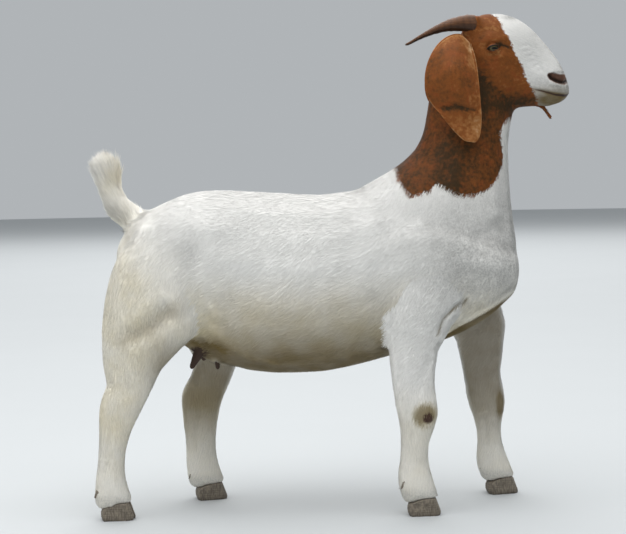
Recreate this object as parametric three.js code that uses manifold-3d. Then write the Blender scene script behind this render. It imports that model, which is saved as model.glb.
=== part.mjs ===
// A meat-breed doe goat standing square-bodied with her head raised: a life-size, one-piece display figure.
// Millimetres, +Z up, head towards +X, her left side towards +Y, soles on Z = 0.
import * as THREE from "three";
import { mergeVertices } from "three/addons/utils/BufferGeometryUtils.js";
import Module from "manifold-3d";

const wasm = await Module();
wasm.setup();

// ---------------------------------------------------------------- driving sizes
const SEAM = 0.3; // gap left where one piece meets the next
const CORONET = 36; // height of the hairline above the hoof
const CLAW = { length: 72, width: 27, toe: 40, heel: 26, cleft: 5 }; // one of the two toes of a foot
const EYE = { x: 388, y: 45, z: 973, radius: 15 }; // eyeball centre and radius
const EAR_THICKNESS = 5;
const TAIL_HAIR = 8; // round of the hair at the tail's end

// Each foot: middle of its sole and how far its toes turn out.
const FEET = {
  fore_right: { x: 222, y: -116, toeOut: 4, side: -1 },
  fore_left: { x: 410, y: 112, toeOut: 5, side: 1 },
  hind_right: { x: -418, y: -108, toeOut: 6, side: -1 },
  hind_left: { x: -236, y: 106, toeOut: 8, side: 1 },
};

const colour = (hex, roughness) => ({ color: hex, roughness, metalness: 0 });
const WHITE_COAT = colour(0xe8e5dc, 0.85);
const BROWN_COAT = colour(0x7d4222, 0.8);
const HORN = colour(0x53443e, 0.5);
const HOOF = colour(0x8f8578, 0.55);
const DEWCLAW = colour(0x4a3d3b, 0.5);
const EYE_SURFACE = colour(0xa97b32, 0.1);
const BARE_SKIN = colour(0xb99a88, 0.6);
const DARK_SKIN = colour(0x3b2621, 0.5);

// ---------------------------------------------------------------- solids
// A closed geometry as a solid, turned the right way out.
function solid(geometry) {
  const bare = geometry.clone();
  bare.deleteAttribute("normal");
  bare.deleteAttribute("uv");
  const merged = mergeVertices(bare, 1e-3);
  const triVerts = new Uint32Array(merged.index.array);
  const vertProperties = merged.attributes.position.array;
  const made = new wasm.Manifold(new wasm.Mesh({ numProp: 3, vertProperties, triVerts }));
  if (made.volume() > 0) return made;
  for (let i = 0; i < triVerts.length; i += 3) {
    [triVerts[i + 1], triVerts[i + 2]] = [triVerts[i + 2], triVerts[i + 1]];
  }
  return new wasm.Manifold(new wasm.Mesh({ numProp: 3, vertProperties, triVerts }));
}

function mesh(name, body, look) {
  const { vertProperties, triVerts, numProp } = body.getMesh();
  const geometry = new THREE.BufferGeometry();
  geometry.setAttribute("position", new THREE.BufferAttribute(new Float32Array(vertProperties), numProp));
  geometry.setIndex(new THREE.BufferAttribute(new Uint32Array(triVerts), 1));
  geometry.computeVertexNormals();
  const made = new THREE.Mesh(geometry, new THREE.MeshStandardMaterial(look));
  made.name = name;
  return made;
}

const power = (v, n) => Math.sign(v) * Math.abs(v) ** (2 / n);
const bell = (d, reach) => Math.exp(-((d / reach) ** 2));

// The rows of a loft: where each lies along the rails, how much it is drawn in, and how far past an end.
function loftRows(rings, caps) {
  const CAP_ROWS = 3;
  const cap = (t, length, outward) => {
    const steps = length > 0 ? CAP_ROWS : 1;
    return Array.from({ length: steps }, (_, i) => {
      const angle = ((steps - i) / steps) * (Math.PI / 2);
      return { t, scale: i === 0 ? 0 : Math.cos(angle), push: outward * length * Math.sin(angle) };
    });
  };
  const middle = Array.from({ length: rings + 1 }, (_, i) => ({ t: i / rings, scale: 1, push: 0 }));
  return [...cap(0, caps[0], -1), ...middle, ...cap(1, caps[1], 1).reverse()];
}

// A body skinned over rings. A station is [ax, az, bx, bz, y1, y2, share]: its ring runs from rail a to
// rail b in the side view, is as wide as y1 to y2, and is widest at that share of the way from a to b.
// caps are the lengths of its two round ends, and 0 is a flat end. square is the ring's squareness
// towards a and b. grow makes it larger all round, as the room that its neighbours leave for it.
function loft(stations, { rings, sides, caps = [0, 0], square = [2, 2], sculpt = null, grow = 0 }) {
  const curve = (...keys) =>
    new THREE.CatmullRomCurve3(
      stations.map((station) => new THREE.Vector3(...keys.map((key) => station[key]))),
      false,
      "catmullrom",
    );
  const railA = curve(0, 1, 6);
  const railB = curve(2, 3, 6);
  const width = curve(4, 5, 6);
  const rows = loftRows(rings, caps);
  const geometry = new THREE.SphereGeometry(1, sides, rows.length - 1);
  const position = geometry.getAttribute("position");
  const p = new THREE.Vector3();
  rows.forEach(({ t, scale, push }, row) => {
    const a = railA.getPoint(t);
    const b = railB.getPoint(t);
    const w = width.getPoint(t);
    const share = a.z;
    const reach = Math.hypot(b.x - a.x, b.y - a.y);
    const up = new THREE.Vector3((a.x - b.x) / reach, 0, (a.y - b.y) / reach);
    const heading = railA.getPoint(Math.min(1, t + 0.01)).sub(railA.getPoint(Math.max(0, t - 0.01)));
    const facing = Math.sign(heading.x * up.z - heading.y * up.x) || 1;
    const along = new THREE.Vector3(up.z * facing, 0, -up.x * facing);
    const outward = push + Math.sign(push) * grow;
    const centre = new THREE.Vector3(a.x + (b.x - a.x) * share, (w.x + w.y) / 2, a.y + (b.y - a.y) * share);
    const halfWidth = Math.abs(w.x - w.y) / 2 + grow;
    for (let column = 0; column <= sides; column++) {
      const angle = ((column % sides) / sides) * Math.PI * 2;
      const c = Math.cos(angle);
      const n = c > 0 ? square[0] : square[1];
      const towards = power(c, n) * ((c > 0 ? share : 1 - share) * reach + grow) * scale;
      const aside = power(Math.sin(angle), n) * halfWidth * scale;
      p.copy(centre).addScaledVector(up, towards).addScaledVector(along, outward);
      p.y += aside;
      if (sculpt) sculpt(p);
      position.setXYZ(row * (sides + 1) + column, p.x, p.y, p.z);
    }
  });
  return solid(geometry);
}

// The same ring width on both sides of the middle plane.
const even = (rows) =>
  rows.map(([ax, az, bx, bz, half, share = 0.5]) => [ax, az, bx, bz, -half, half, share]);
// The same body on the other side of the middle plane.
const mirrored = (rows) =>
  rows.map(([ax, az, bx, bz, y1, y2, share]) => [ax, az, bx, bz, -y1, -y2, share]);

function ball(x, y, z, radius, stretch = [1, 1, 1]) {
  return solid(new THREE.SphereGeometry(radius, 12, 8).scale(...stretch).translate(x, y, z));
}

// ---------------------------------------------------------------- trunk, neck and head
// Back line, then belly line, half-width and how far down the ring is widest.
const TRUNK = even([
  [-398, 594, -407, 500, 58, 0.5],
  [-368, 634, -378, 446, 82, 0.46],
  [-318, 660, -330, 412, 104, 0.46],
  [-262, 681, -268, 370, 120, 0.48],
  [-205, 686, -200, 314, 135, 0.55],
  [-130, 682, -126, 292, 146, 0.58],
  [-50, 676, -48, 288, 152, 0.6],
  [30, 672, 30, 291, 149, 0.6],
  [105, 683, 108, 307, 141, 0.56],
  [175, 690, 185, 327, 134, 0.5],
  [245, 674, 262, 354, 130, 0.46],
  [318, 640, 330, 381, 124, 0.42],
  [375, 598, 386, 415, 108, 0.42],
  [412, 566, 418, 447, 84, 0.45],
]);

// Nape line, then throat line, down into the chest.
const NECK = even([
  [322, 1006, 424, 945, 42, 0.5],
  [288, 958, 430, 902, 50, 0.5],
  [262, 905, 436, 860, 56, 0.48],
  [250, 858, 432, 820, 62, 0.46],
  [243, 812, 424, 784, 67, 0.45],
  [231, 778, 424, 745, 74, 0.45],
  [206, 747, 425, 706, 84, 0.46],
  [170, 722, 427, 664, 96, 0.48],
  [128, 698, 431, 620, 108, 0.5],
  [88, 679, 438, 566, 116, 0.52],
  [70, 640, 440, 520, 112, 0.55],
]);

// Forehead and nose line, then throat and jaw line.
const HEAD = even([
  [336, 1024, 332, 925, 40, 0.5],
  [361, 1048, 346, 880, 51, 0.46],
  [392, 1051, 374, 861, 56, 0.42],
  [419, 1049, 406, 851, 54, 0.42],
  [445, 1040, 433, 847, 49, 0.43],
  [471, 1022, 456, 849, 43, 0.45],
  [496, 996, 479, 851, 38, 0.48],
  [517, 970, 499, 850, 34.5, 0.5],
  [533, 947, 515, 851, 33, 0.5],
  [545, 923, 529, 856, 31, 0.48],
  [551, 905, 541, 862, 27, 0.45],
  [553, 889, 549, 870, 18, 0.5],
]);

// A soft push sideways, away from the middle plane, round a place in the side view.
const swell = (p, x, z, reach, height) => {
  const aside = Math.sign(p.y) * Math.min(1, Math.abs(p.y) / 20);
  p.y += aside * height * bell(p.x - x, reach[0]) * bell(p.z - z, reach[1]);
};

function sculptHead(p) {
  swell(p, EYE.x + 2, EYE.z + 17, [26, 13], 6.5); // brow over the eye
  swell(p, EYE.x + 20, EYE.z - 16, [20, 12], 2.5); // cheekbone below it
  swell(p, 400, 895, [34, 30], 5); // jaw muscle
  swell(p, 462, 938, [26, 22], -4); // hollow before the cheek
  swell(p, 530, 905, [18, 16], 3); // nostril wing
  swell(p, 520, 884, [28, 10], 2.5); // upper lip
  swell(p, 520, 862, [30, 9], -2.5); // under the lower lip
}

function sculptTrunk(p) {
  swell(p, 250, 560, [90, 110], 7); // shoulder blade
  swell(p, 385, 520, [40, 36], 8); // point of the shoulder
  swell(p, 70, 560, [45, 110], -5); // dip behind the shoulder
  swell(p, -230, 600, [40, 30], 6); // hip bone
  swell(p, -190, 470, [50, 70], -6); // flank hollow
  swell(p, -120, 640, [110, 22], 4); // loin muscle
}

const eyeSockets = [1, -1].map((side) => ball(EYE.x, side * EYE.y, EYE.z, EYE.radius + SEAM));
const HEAD_LOFT = { rings: 16, sides: 20, caps: [16, 5], square: [2.3, 1.95], sculpt: sculptHead };
const NECK_LOFT = { rings: 11, sides: 16, caps: [8, 30], square: [2, 2.1] };
const TRUNK_LOFT = { rings: 19, sides: 20, caps: [20, 27], square: [2.25, 2.1], sculpt: sculptTrunk };

// ---------------------------------------------------------------- legs
// Front line, then rear line, outer side and inner side, for the right legs; each leg stands its own way.
const FORELEG_RIGHT = [
  [330, 560, 190, 590, -120, -40, 0.5],
  [338, 500, 150, 520, -136, -34, 0.5],
  [322, 440, 122, 448, -139, -40, 0.5],
  [290, 392, 134, 396, -137, -50, 0.5],
  [263, 350, 153, 352, -133, -62, 0.5],
  [253, 300, 156, 300, -132, -74, 0.52],
  [251, 258, 162, 258, -133, -82, 0.52],
  [258, 220, 171, 220, -137, -84, 0.5],
  [250, 184, 174, 184, -135, -87, 0.5],
  [235, 146, 175, 146, -133, -91, 0.5],
  [235, 106, 172, 106, -134, -91, 0.5],
  [243, 76, 166, 72, -142, -88, 0.5],
  [250, 50, 176, 46, -144, -86, 0.5],
  [256, CORONET, 184, CORONET - 8, -145, -86, 0.5],
];
const FORELEG_LEFT = mirrored([
  [345, 560, 215, 590, -120, -40, 0.5],
  [372, 500, 200, 520, -136, -34, 0.5],
  [405, 440, 215, 448, -137, -40, 0.5],
  [424, 392, 268, 396, -134, -50, 0.5],
  [422, 350, 308, 352, -130, -62, 0.5],
  [415, 300, 321, 300, -128, -72, 0.52],
  [412, 258, 328, 258, -128, -80, 0.52],
  [419, 216, 339, 218, -132, -82, 0.5],
  [415, 176, 348, 180, -130, -85, 0.5],
  [411, 142, 355, 142, -129, -88, 0.5],
  [415, 104, 356, 104, -130, -88, 0.5],
  [427, 76, 352, 72, -138, -85, 0.5],
  [436, 50, 362, 46, -140, -83, 0.5],
  [443, CORONET, 371, CORONET - 8, -141, -83, 0.5],
]);
const HINDLEG_RIGHT = [
  [-276, 600, -376, 590, -96, -30, 0.5],
  [-240, 552, -419, 543, -118, -20, 0.5],
  [-226, 496, -436, 490, -131, -14, 0.5],
  [-222, 440, -448, 430, -137, -16, 0.5],
  [-236, 396, -451, 376, -136, -28, 0.48],
  [-272, 360, -449, 334, -133, -44, 0.48],
  [-317, 318, -443, 300, -130, -60, 0.5],
  [-335, 284, -437, 281, -128, -70, 0.5],
  [-347, 258, -448, 260, -128, -74, 0.5],
  [-359, 236, -454, 238, -129, -77, 0.5],
  [-375, 206, -456, 208, -129, -80, 0.5],
  [-394, 166, -456, 168, -127, -84, 0.5],
  [-401, 124, -459, 124, -127, -85, 0.5],
  [-401, 90, -464, 86, -130, -84, 0.5],
  [-393, 60, -468, 56, -136, -80, 0.5],
  [-385, CORONET, -458, CORONET - 10, -138, -78, 0.5],
];
const HINDLEG_LEFT = mirrored([
  [-276, 600, -376, 590, -96, -30, 0.5],
  [-236, 552, -417, 542, -118, -20, 0.5],
  [-208, 496, -420, 490, -131, -14, 0.5],
  [-182, 440, -404, 440, -135, -16, 0.5],
  [-164, 392, -352, 390, -133, -28, 0.48],
  [-160, 346, -284, 345, -130, -44, 0.48],
  [-170, 306, -264, 302, -127, -58, 0.5],
  [-184, 268, -284, 264, -126, -68, 0.5],
  [-200, 234, -298, 236, -126, -74, 0.5],
  [-211, 204, -299, 206, -127, -78, 0.5],
  [-218, 166, -295, 168, -125, -82, 0.5],
  [-223, 124, -291, 124, -125, -83, 0.5],
  [-220, 90, -291, 86, -128, -82, 0.5],
  [-212, 60, -289, 56, -134, -78, 0.5],
  [-203, CORONET, -276, CORONET - 10, -136, -76, 0.5],
]);
const FORE_LOFT = { rings: 16, sides: 10, caps: [40, 0], square: [2.1, 2.1] };
const HIND_LOFT = { rings: 17, sides: 11, caps: [34, 0], square: [2.1, 2.1] };

// One toe: a wedge seen from the side, round at its outer face, flat where it faces the other toe.
function claw(foot, inward) {
  const { length, width, toe, heel, cleft } = CLAW;
  const outline = new THREE.Shape();
  outline.moveTo(-length / 2 + 5, 0);
  outline.lineTo(length / 2 - 3, 0);
  outline.quadraticCurveTo(length / 2 + 2, 3, length / 2 - 1, 9);
  outline.lineTo(length / 2 - 11, toe - 4);
  outline.quadraticCurveTo(0, toe, -length / 2 + 4, heel);
  outline.quadraticCurveTo(-length / 2 - 3, heel / 2, -length / 2 + 5, 0);
  const depth = width;
  const geometry = new THREE.ExtrudeGeometry(outline, {
    depth,
    bevelEnabled: false,
    steps: 2,
    curveSegments: 3,
  });
  // y runs up the wall and z from the cleft outwards. The toe narrows to its tip and is round outside.
  const at = geometry.getAttribute("position");
  for (let i = 0; i < at.count; i++) {
    const x = at.getX(i);
    const out = at.getZ(i) / depth;
    const tip = Math.max(0, x / (length / 2));
    const narrow = 1 - 0.42 * tip ** 2;
    const lean = 1 - 0.18 * (at.getY(i) / toe);
    const round = 1 - 0.22 * out ** 3;
    at.setXYZ(i, x * round, cleft / 2 + out * width * narrow * lean + 1.5 * tip ** 2, at.getY(i));
  }
  const side = foot.side * (inward ? -1 : 1);
  const turn = new THREE.Matrix4()
    .makeTranslation(foot.x, foot.y, 0)
    .multiply(new THREE.Matrix4().makeRotationZ(THREE.MathUtils.degToRad(foot.toeOut * foot.side)))
    .multiply(new THREE.Matrix4().makeScale(1, side, 1));
  return solid(geometry.applyMatrix4(turn));
}

// The two small claws behind the pastern.
function dewclaw(foot, inward, height) {
  const side = foot.side * (inward ? -1 : 1);
  const nail = new THREE.ConeGeometry(8, 24, 8);
  nail.rotateX(-Math.PI / 2).rotateY(THREE.MathUtils.degToRad(35));
  nail.translate(foot.x - 44, foot.y + side * 13, height);
  return solid(nail);
}

// ---------------------------------------------------------------- ears, horns, tail, udder and beard
// From root to tip: rear edge, front edge, distance from the middle plane, and the middle's bulge.
const EAR = [
  [322, 1006, 342, 985, 42, 4],
  [297, 1005, 345, 968, 52, 12],
  [267, 984, 350, 948, 68, 20],
  [247, 952, 353, 918, 82, 23],
  [237, 916, 356, 886, 89, 21],
  [239, 884, 358, 856, 88, 17],
  [251, 859, 360, 826, 79, 10],
  [273, 832, 358, 802, 82, 8],
  [296, 801, 354, 784, 89, 7],
  [320, 777, 343, 773, 93, 3],
];
const LEFT_EAR_FORWARD = 12; // the left ear hangs a little further forward

function ear(side, grow = 0) {
  const forward = side > 0 ? LEFT_EAR_FORWARD : 0;
  const rail = (x, z, y) =>
    new THREE.CatmullRomCurve3(
      EAR.map((row, i) => new THREE.Vector3(row[x] + forward * Math.min(1, i / 2), row[y], row[z])),
    );
  const rear = rail(0, 1, 4);
  const front = rail(2, 3, 4);
  const bulge = new THREE.CatmullRomCurve3(EAR.map((row, i) => new THREE.Vector3(row[5], i, 0)));
  const leaf = new THREE.BoxGeometry(1, 1, 1, 12, 5, 1);
  const at = leaf.getAttribute("position");
  for (let i = 0; i < at.count; i++) {
    const along = at.getX(i) + 0.5;
    const across = at.getY(i) + 0.5;
    const p = rear.getPoint(along).lerp(front.getPoint(along), across);
    const middle = 1 - (2 * across - 1) ** 2;
    const thickness = EAR_THICKNESS * (0.35 + 0.65 * Math.sqrt(middle)) + 2 * grow;
    at.setXYZ(i, p.x, side * (p.y + bulge.getPoint(along).x * middle + at.getZ(i) * thickness), p.z);
  }
  return solid(leaf);
}

// Top line, then under line; the pair spreads towards the tips.
const HORN_RIGHT = [
  [362, 1042, 350, 1004, -50, -18, 0.5],
  [345, 1048, 337, 1009, -52, -20, 0.5],
  [316, 1044, 316, 1011, -54, -25, 0.5],
  [288, 1035, 290, 1011, -56, -32, 0.5],
  [262, 1022, 265, 1006, -57, -39, 0.5],
  [236, 1007, 238, 997, -57, -45, 0.5],
  [207, 989, 208, 983, -56, -50, 0.5],
];
// The left horn starts a little higher and further forward.
const HORN_LIFT = 6;
const HORN_LEFT = mirrored(
  HORN_RIGHT.map((row) => row.map((value, key) => (key < 4 ? value + HORN_LIFT : value))),
);
const HORN_LOFT = { rings: 9, sides: 8, caps: [0, 9] };

const TAIL = even([
  [-340, 640, -392, 588, 32],
  [-375, 656, -428, 619, 31],
  [-397, 676, -446, 648, 27],
  [-404, 702, -458, 682, 25],
  [-407, 726, -469, 710, 27],
  [-413, 746, -474, 734, 24],
  [-430, 756, -464, 751, 13],
]);

const UDDER = even([
  [-190, 376, -184, 304, 40],
  [-218, 388, -212, 309, 52],
  [-250, 404, -246, 328, 54],
  [-284, 420, -282, 352, 44],
  [-314, 436, -320, 384, 28],
]);
const UDDER_LOFT = { rings: 6, sides: 12, caps: [16, 14] };

// A teat hangs from the udder; it runs from its root to its tip, leaning back.
function teat(root, tip, rootRadius, tipRadius) {
  const from = new THREE.Vector3(...root);
  const to = new THREE.Vector3(...tip);
  const profile = [];
  const length = from.distanceTo(to);
  const STEPS = 3;
  profile.push(new THREE.Vector2(0, 0));
  for (let i = 0; i <= STEPS; i++) {
    const t = i / STEPS;
    profile.push(new THREE.Vector2(rootRadius + (tipRadius - rootRadius) * t, length * t));
  }
  profile.push(new THREE.Vector2(tipRadius * 0.6, length + tipRadius * 0.7));
  profile.push(new THREE.Vector2(0, length + tipRadius));
  const turned = new THREE.LatheGeometry(profile, 10);
  const down = to.sub(from).normalize();
  const aim = new THREE.Quaternion().setFromUnitVectors(new THREE.Vector3(0, 1, 0), down);
  turned.applyQuaternion(aim).translate(...root);
  return solid(turned);
}

const BEARD = even([
  [475, 862, 475, 853, 5],
  [489, 860, 487, 851, 5],
  [500, 856, 494, 849, 4.2],
  [507, 846, 501, 841, 4],
  [513, 836, 507, 832, 3.6],
  [517, 829, 511, 827, 2.8],
]);

// ---------------------------------------------------------------- the whole animal
const feet = Object.entries(FEET);
const claws = feet.flatMap(([name, foot]) =>
  [true, false].map((inward) => ({
    name: `hoof_${name}_${inward ? "inner" : "outer"}`,
    body: claw(foot, inward),
  })),
);
const dewclaws = feet.flatMap(([name, foot]) =>
  [true, false].map((inward) => ({
    name: `dewclaw_${name}_${inward ? "inner" : "outer"}`,
    body: dewclaw(foot, inward, name.startsWith("fore") ? 62 : 52),
  })),
);

const cut = (body, ...others) => others.reduce((left, other) => left.subtract(other), body);
const grown = { grow: SEAM };

const legShapes = {
  foreleg_right: [FORELEG_RIGHT, FORE_LOFT],
  foreleg_left: [FORELEG_LEFT, FORE_LOFT],
  hindleg_right: [HINDLEG_RIGHT, HIND_LOFT],
  hindleg_left: [HINDLEG_LEFT, HIND_LOFT],
};
const legRoom = Object.values(legShapes).map(([rows, how]) => loft(rows, { ...how, ...grown }));
const hornRows = { right: HORN_RIGHT, left: HORN_LEFT };
const hornRoom = Object.values(hornRows).map((rows) => loft(rows, { ...HORN_LOFT, ...grown }));
const earRoom = [1, -1].map((side) => ear(side, SEAM));
const headRoom = loft(HEAD, { ...HEAD_LOFT, ...grown });
const neckRoom = loft(NECK, { ...NECK_LOFT, ...grown });
const trunkRoom = loft(TRUNK, { ...TRUNK_LOFT, ...grown });

const head = cut(loft(HEAD, HEAD_LOFT), ...eyeSockets, ...hornRoom, ...earRoom);
const neck = cut(loft(NECK, NECK_LOFT), headRoom, ...earRoom, ...legRoom);
const trunk = cut(loft(TRUNK, TRUNK_LOFT), neckRoom, ...legRoom);
const tail = cut(loft(TAIL, { rings: 9, sides: 11, caps: [4, TAIL_HAIR] }), trunkRoom, ...legRoom);
const udder = cut(loft(UDDER, UDDER_LOFT), trunkRoom, ...legRoom);
const udderRoom = loft(UDDER, { ...UDDER_LOFT, ...grown });
const beard = cut(loft(BEARD, { rings: 5, sides: 6, caps: [0, 3] }), headRoom);
const teats = [
  ["teat_right", [-240, -33, 354], [-262, -42, 310], 15, 5.5],
  ["teat_left", [-238, 33, 354], [-242, 38, 319], 13, 6],
  ["teat_right_front", [-210, -27, 328], [-208, -30, 306], 6.5, 4.5],
];

const goat = new THREE.Group();
goat.add(mesh("trunk", trunk, WHITE_COAT));
goat.add(mesh("neck", neck, BROWN_COAT));
goat.add(mesh("head", head, BROWN_COAT));
goat.add(mesh("tail", tail, WHITE_COAT));
goat.add(mesh("udder", udder, BARE_SKIN));
goat.add(mesh("beard", beard, BROWN_COAT));
for (const [name, root, tip, rootRadius, tipRadius] of teats) {
  goat.add(mesh(name, cut(teat(root, tip, rootRadius, tipRadius), udderRoom, trunkRoom), DARK_SKIN));
}
for (const side of [1, -1]) {
  const name = side > 0 ? "left" : "right";
  goat.add(mesh(`eye_${name}`, ball(EYE.x, side * EYE.y, EYE.z, EYE.radius), EYE_SURFACE));
  goat.add(mesh(`ear_${name}`, ear(side), BROWN_COAT));
  goat.add(mesh(`horn_${name}`, cut(loft(hornRows[name], HORN_LOFT), ...earRoom), HORN));
}
for (const [name, [rows, how]] of Object.entries(legShapes)) {
  const leg = loft(rows, how);
  const nails = [...claws, ...dewclaws].filter((nail) => nail.name.includes(name.replace("leg", "")));
  goat.add(mesh(name, cut(leg, ...nails.map((nail) => nail.body)), WHITE_COAT));
}
for (const { name, body } of claws) goat.add(mesh(name, body, HOOF));
for (const { name, body } of dewclaws) goat.add(mesh(name, body, DEWCLAW));

// The part's origin is under the middle of its length, on the floor.
const box = new THREE.Box3().setFromObject(goat);
goat.position.x = -(box.min.x + box.max.x) / 2;
goat.position.y = -(box.min.y + box.max.y) / 2;

const figure = new THREE.Group();
figure.add(goat);
export default figure;
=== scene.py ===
"""A life-size standing goat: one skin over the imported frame, and its coat, eyes, horns and claws."""
import itertools
import math
from collections import namedtuple

import bmesh
import bpy
import numpy as np
from mathutils import Matrix, Vector
from mathutils.bvhtree import BVHTree


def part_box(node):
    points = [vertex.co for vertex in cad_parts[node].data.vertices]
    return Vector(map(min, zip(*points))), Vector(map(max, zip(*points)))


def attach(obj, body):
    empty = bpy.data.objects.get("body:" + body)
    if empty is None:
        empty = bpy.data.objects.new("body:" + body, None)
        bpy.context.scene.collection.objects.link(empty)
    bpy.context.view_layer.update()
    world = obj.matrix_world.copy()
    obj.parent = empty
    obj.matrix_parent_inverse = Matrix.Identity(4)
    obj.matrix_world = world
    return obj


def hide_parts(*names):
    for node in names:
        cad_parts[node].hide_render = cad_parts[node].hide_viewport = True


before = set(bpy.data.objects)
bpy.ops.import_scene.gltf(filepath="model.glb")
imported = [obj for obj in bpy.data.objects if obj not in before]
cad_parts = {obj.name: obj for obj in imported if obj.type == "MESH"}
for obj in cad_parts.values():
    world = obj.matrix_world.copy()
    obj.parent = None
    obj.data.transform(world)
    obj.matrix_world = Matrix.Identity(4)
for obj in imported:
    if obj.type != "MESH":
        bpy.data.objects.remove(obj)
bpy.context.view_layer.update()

bl_info = {
    "name": "Standing Goat Figure",
    "version": (1, 0, 0),
    "blender": (4, 5, 0),
    "location": "View3D > Sidebar > Goat",
    "description": "Builds the skin, coat, eyes, horns, claws and stage of a life-size standing goat",
    "category": "Add Mesh",
}

# ---------------------------------------------------------------- places
# Places below are millimetres on the figure's own side drawing: x forwards from the middle of the
# body, y to the goat's left, z up from the floor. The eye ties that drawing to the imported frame.
MM = 0.001
EYE = Vector((388, 45, 973))
EYE_RADIUS = 15
ORIGIN_X = sum(corner.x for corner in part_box("eye_right")) / 2 - EYE.x * MM

SIDES = {"right": -1, "left": 1}
LEGS = ["foreleg_right", "foreleg_left", "hindleg_right", "hindleg_left"]
EARS = ["ear_right", "ear_left"]
HORNS = ["horn_right", "horn_left"]
TEATS = ["teat_right", "teat_left", "teat_right_front"]
FLESH = ["trunk", "neck", "head", "tail", "udder", *TEATS, *LEGS]
LEG_KINDS = ["foreleg", "hindleg"]
CLAWS = [
    f"hoof_{end}_{side}_{place}"
    for end in ("fore", "hind") for side in SIDES for place in ("inner", "outer")
]
DEWCLAWS = [name.replace("hoof", "dewclaw") for name in CLAWS]

# How each region of skin is made, and the hair on it, in millimetres: rounds of smoothing, depth
# under the frame's outline, then the hair's length, width and lift at the tip, and layers of it.
Coat = namedtuple("Coat", "rounds depth length width lift layers")
COATS = {
    "trunk": Coat(34, 2.2, 17, 1.1, 1.25, 1.45),
    "neck": Coat(26, 2.2, 13.5, 1.0, 1.2, 1.5),
    "head": Coat(14, 1.2, 6.5, 0.8, 0.7, 1.3),
    "tail": Coat(16, 5.5, 24, 1.4, 3.5, 4.4),
    "udder": Coat(14, 1.0, 7, 1.0, 0.7, 1.0),
    "teat": Coat(10, 0.3, 0, 0, 0, 0),
    "foreleg": Coat(12, 0.8, 12, 1.0, 1.1, 1.5),
    "hindleg": Coat(12, 0.8, 12, 1.0, 1.1, 1.4),
    "ear": Coat(4, 0.6, 6, 0.8, 0.45, 1.15),
    "horn": Coat(5, 0, 0, 0, 0, 0),
}
# The most tufts in one piece of the coat, which keeps it under 200,000 triangles.
TUFTS_IN_A_PIECE = 45000
# The side of a tuft's patch on the unwrap, as a share of the unwrap's side.
UNWRAP_PATCH = 0.003
# How much solids are swollen, in metres, so that neighbours close the gap between them and join.
SWELL = 0.0006

# Where the chestnut of head and neck ends, going down the blaze, back under the jaw, down the
# throat, back over the shoulder and up behind the nape. Points off the body close it.
CHESTNUT_EDGE = [
    (384, 1075), (394, 1047), (402, 1039), (408, 1026), (412, 1011), (422, 996), (429, 981),
    (433, 964), (443, 949), (451, 938), (455, 926), (459, 911), (468, 896), (476, 885),
    (484, 868), (491, 851), (492, 838), (450, 836), (418, 827), (408, 817), (401, 800),
    (405, 779), (407, 748), (402, 727), (395, 706), (378, 687), (363, 675), (342, 669),
    (321, 667), (300, 672), (280, 683), (269, 692), (259, 690), (248, 677), (227, 673),
    (208, 667), (198, 678), (188, 695), (184, 716), (182, 735), (150, 775), (180, 960), (300, 1075),
]
MOUTH = [(476, 886.5), (490, 883.5), (503, 880), (521, 874.5), (538, 872.5), (552, 874)]
# The opening of a nostril, the bare fold over it, and the upper edge of that fold.
NOSTRIL_SLIT = [(509, 915), (513, 909), (522, 904), (532, 901), (540, 900), (547, 904)]
NOSTRIL_WING = [(514, 914), (523, 912), (532, 910), (541, 911)]
NOSTRIL_TOP = [(508, 916), (517, 921), (528, 921.5), (540, 922)]
TEAR_LINE = [(398, 976), (406, 978), (414, 977), (422, 974), (430, 970)]
BRISKET_EDGE = [(432, 462), (400, 445), (340, 410), (290, 379), (262, 363)]
THIGH_CREASE = [(-396, 380), (-340, 412), (-285, 448)]
BELLY_RIDGE = [(-205, 400), (-190, 372), (-150, 345), (-126, 330), (-66, 313)]
# The bare callus of the near knee.
CALLUS = (233, 205)
# How deep the skin lies in a horn, going forwards: inside it, then out over its foot.
HORN_CUFF = [205, 325, 337, 346]
HORN_CUFF_DEPTH = [2.5, 5.0, 4.0, -1.6]
ARM_CREASE = [(324, 451), (294, 434), (273, 414), (258, 379)]
EAR_CREASE = [(276, 847), (290, 849), (300, 853), (308, 850), (324, 846), (346, 843)]
BEARD_LINE = [(458, 857), (474, 857), (487, 855.5), (496, 852), (503, 844), (509, 835), (513, 829)]


def place(x, y, z):
    """A point of the drawing, in the frame's metres."""
    return Vector((ORIGIN_X + x * MM, y * MM, z * MM))


def drawing(points):
    """Points in metres, in the drawing's millimetres."""
    return (points - np.array([ORIGIN_X, 0, 0])) / MM


def metres(points):
    """Points of the drawing, in metres."""
    return points * MM + np.array([ORIGIN_X, 0, 0])


# ---------------------------------------------------------------- settings
def colour_property(name, description, sheet):
    """A colour setting, given as an sRGB hex value."""
    return bpy.props.FloatVectorProperty(
        name=name, description=description, subtype="COLOR", size=3, min=0, max=1, default=linear(sheet)
    )


def linear(sheet):
    """An sRGB hex value as linear red, green and blue."""
    parts = [int(sheet[i:i + 2], 16) / 255 for i in (0, 2, 4)]
    return tuple(p / 12.92 if p <= 0.04045 else ((p + 0.055) / 1.055) ** 2.4 for p in parts)


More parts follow.
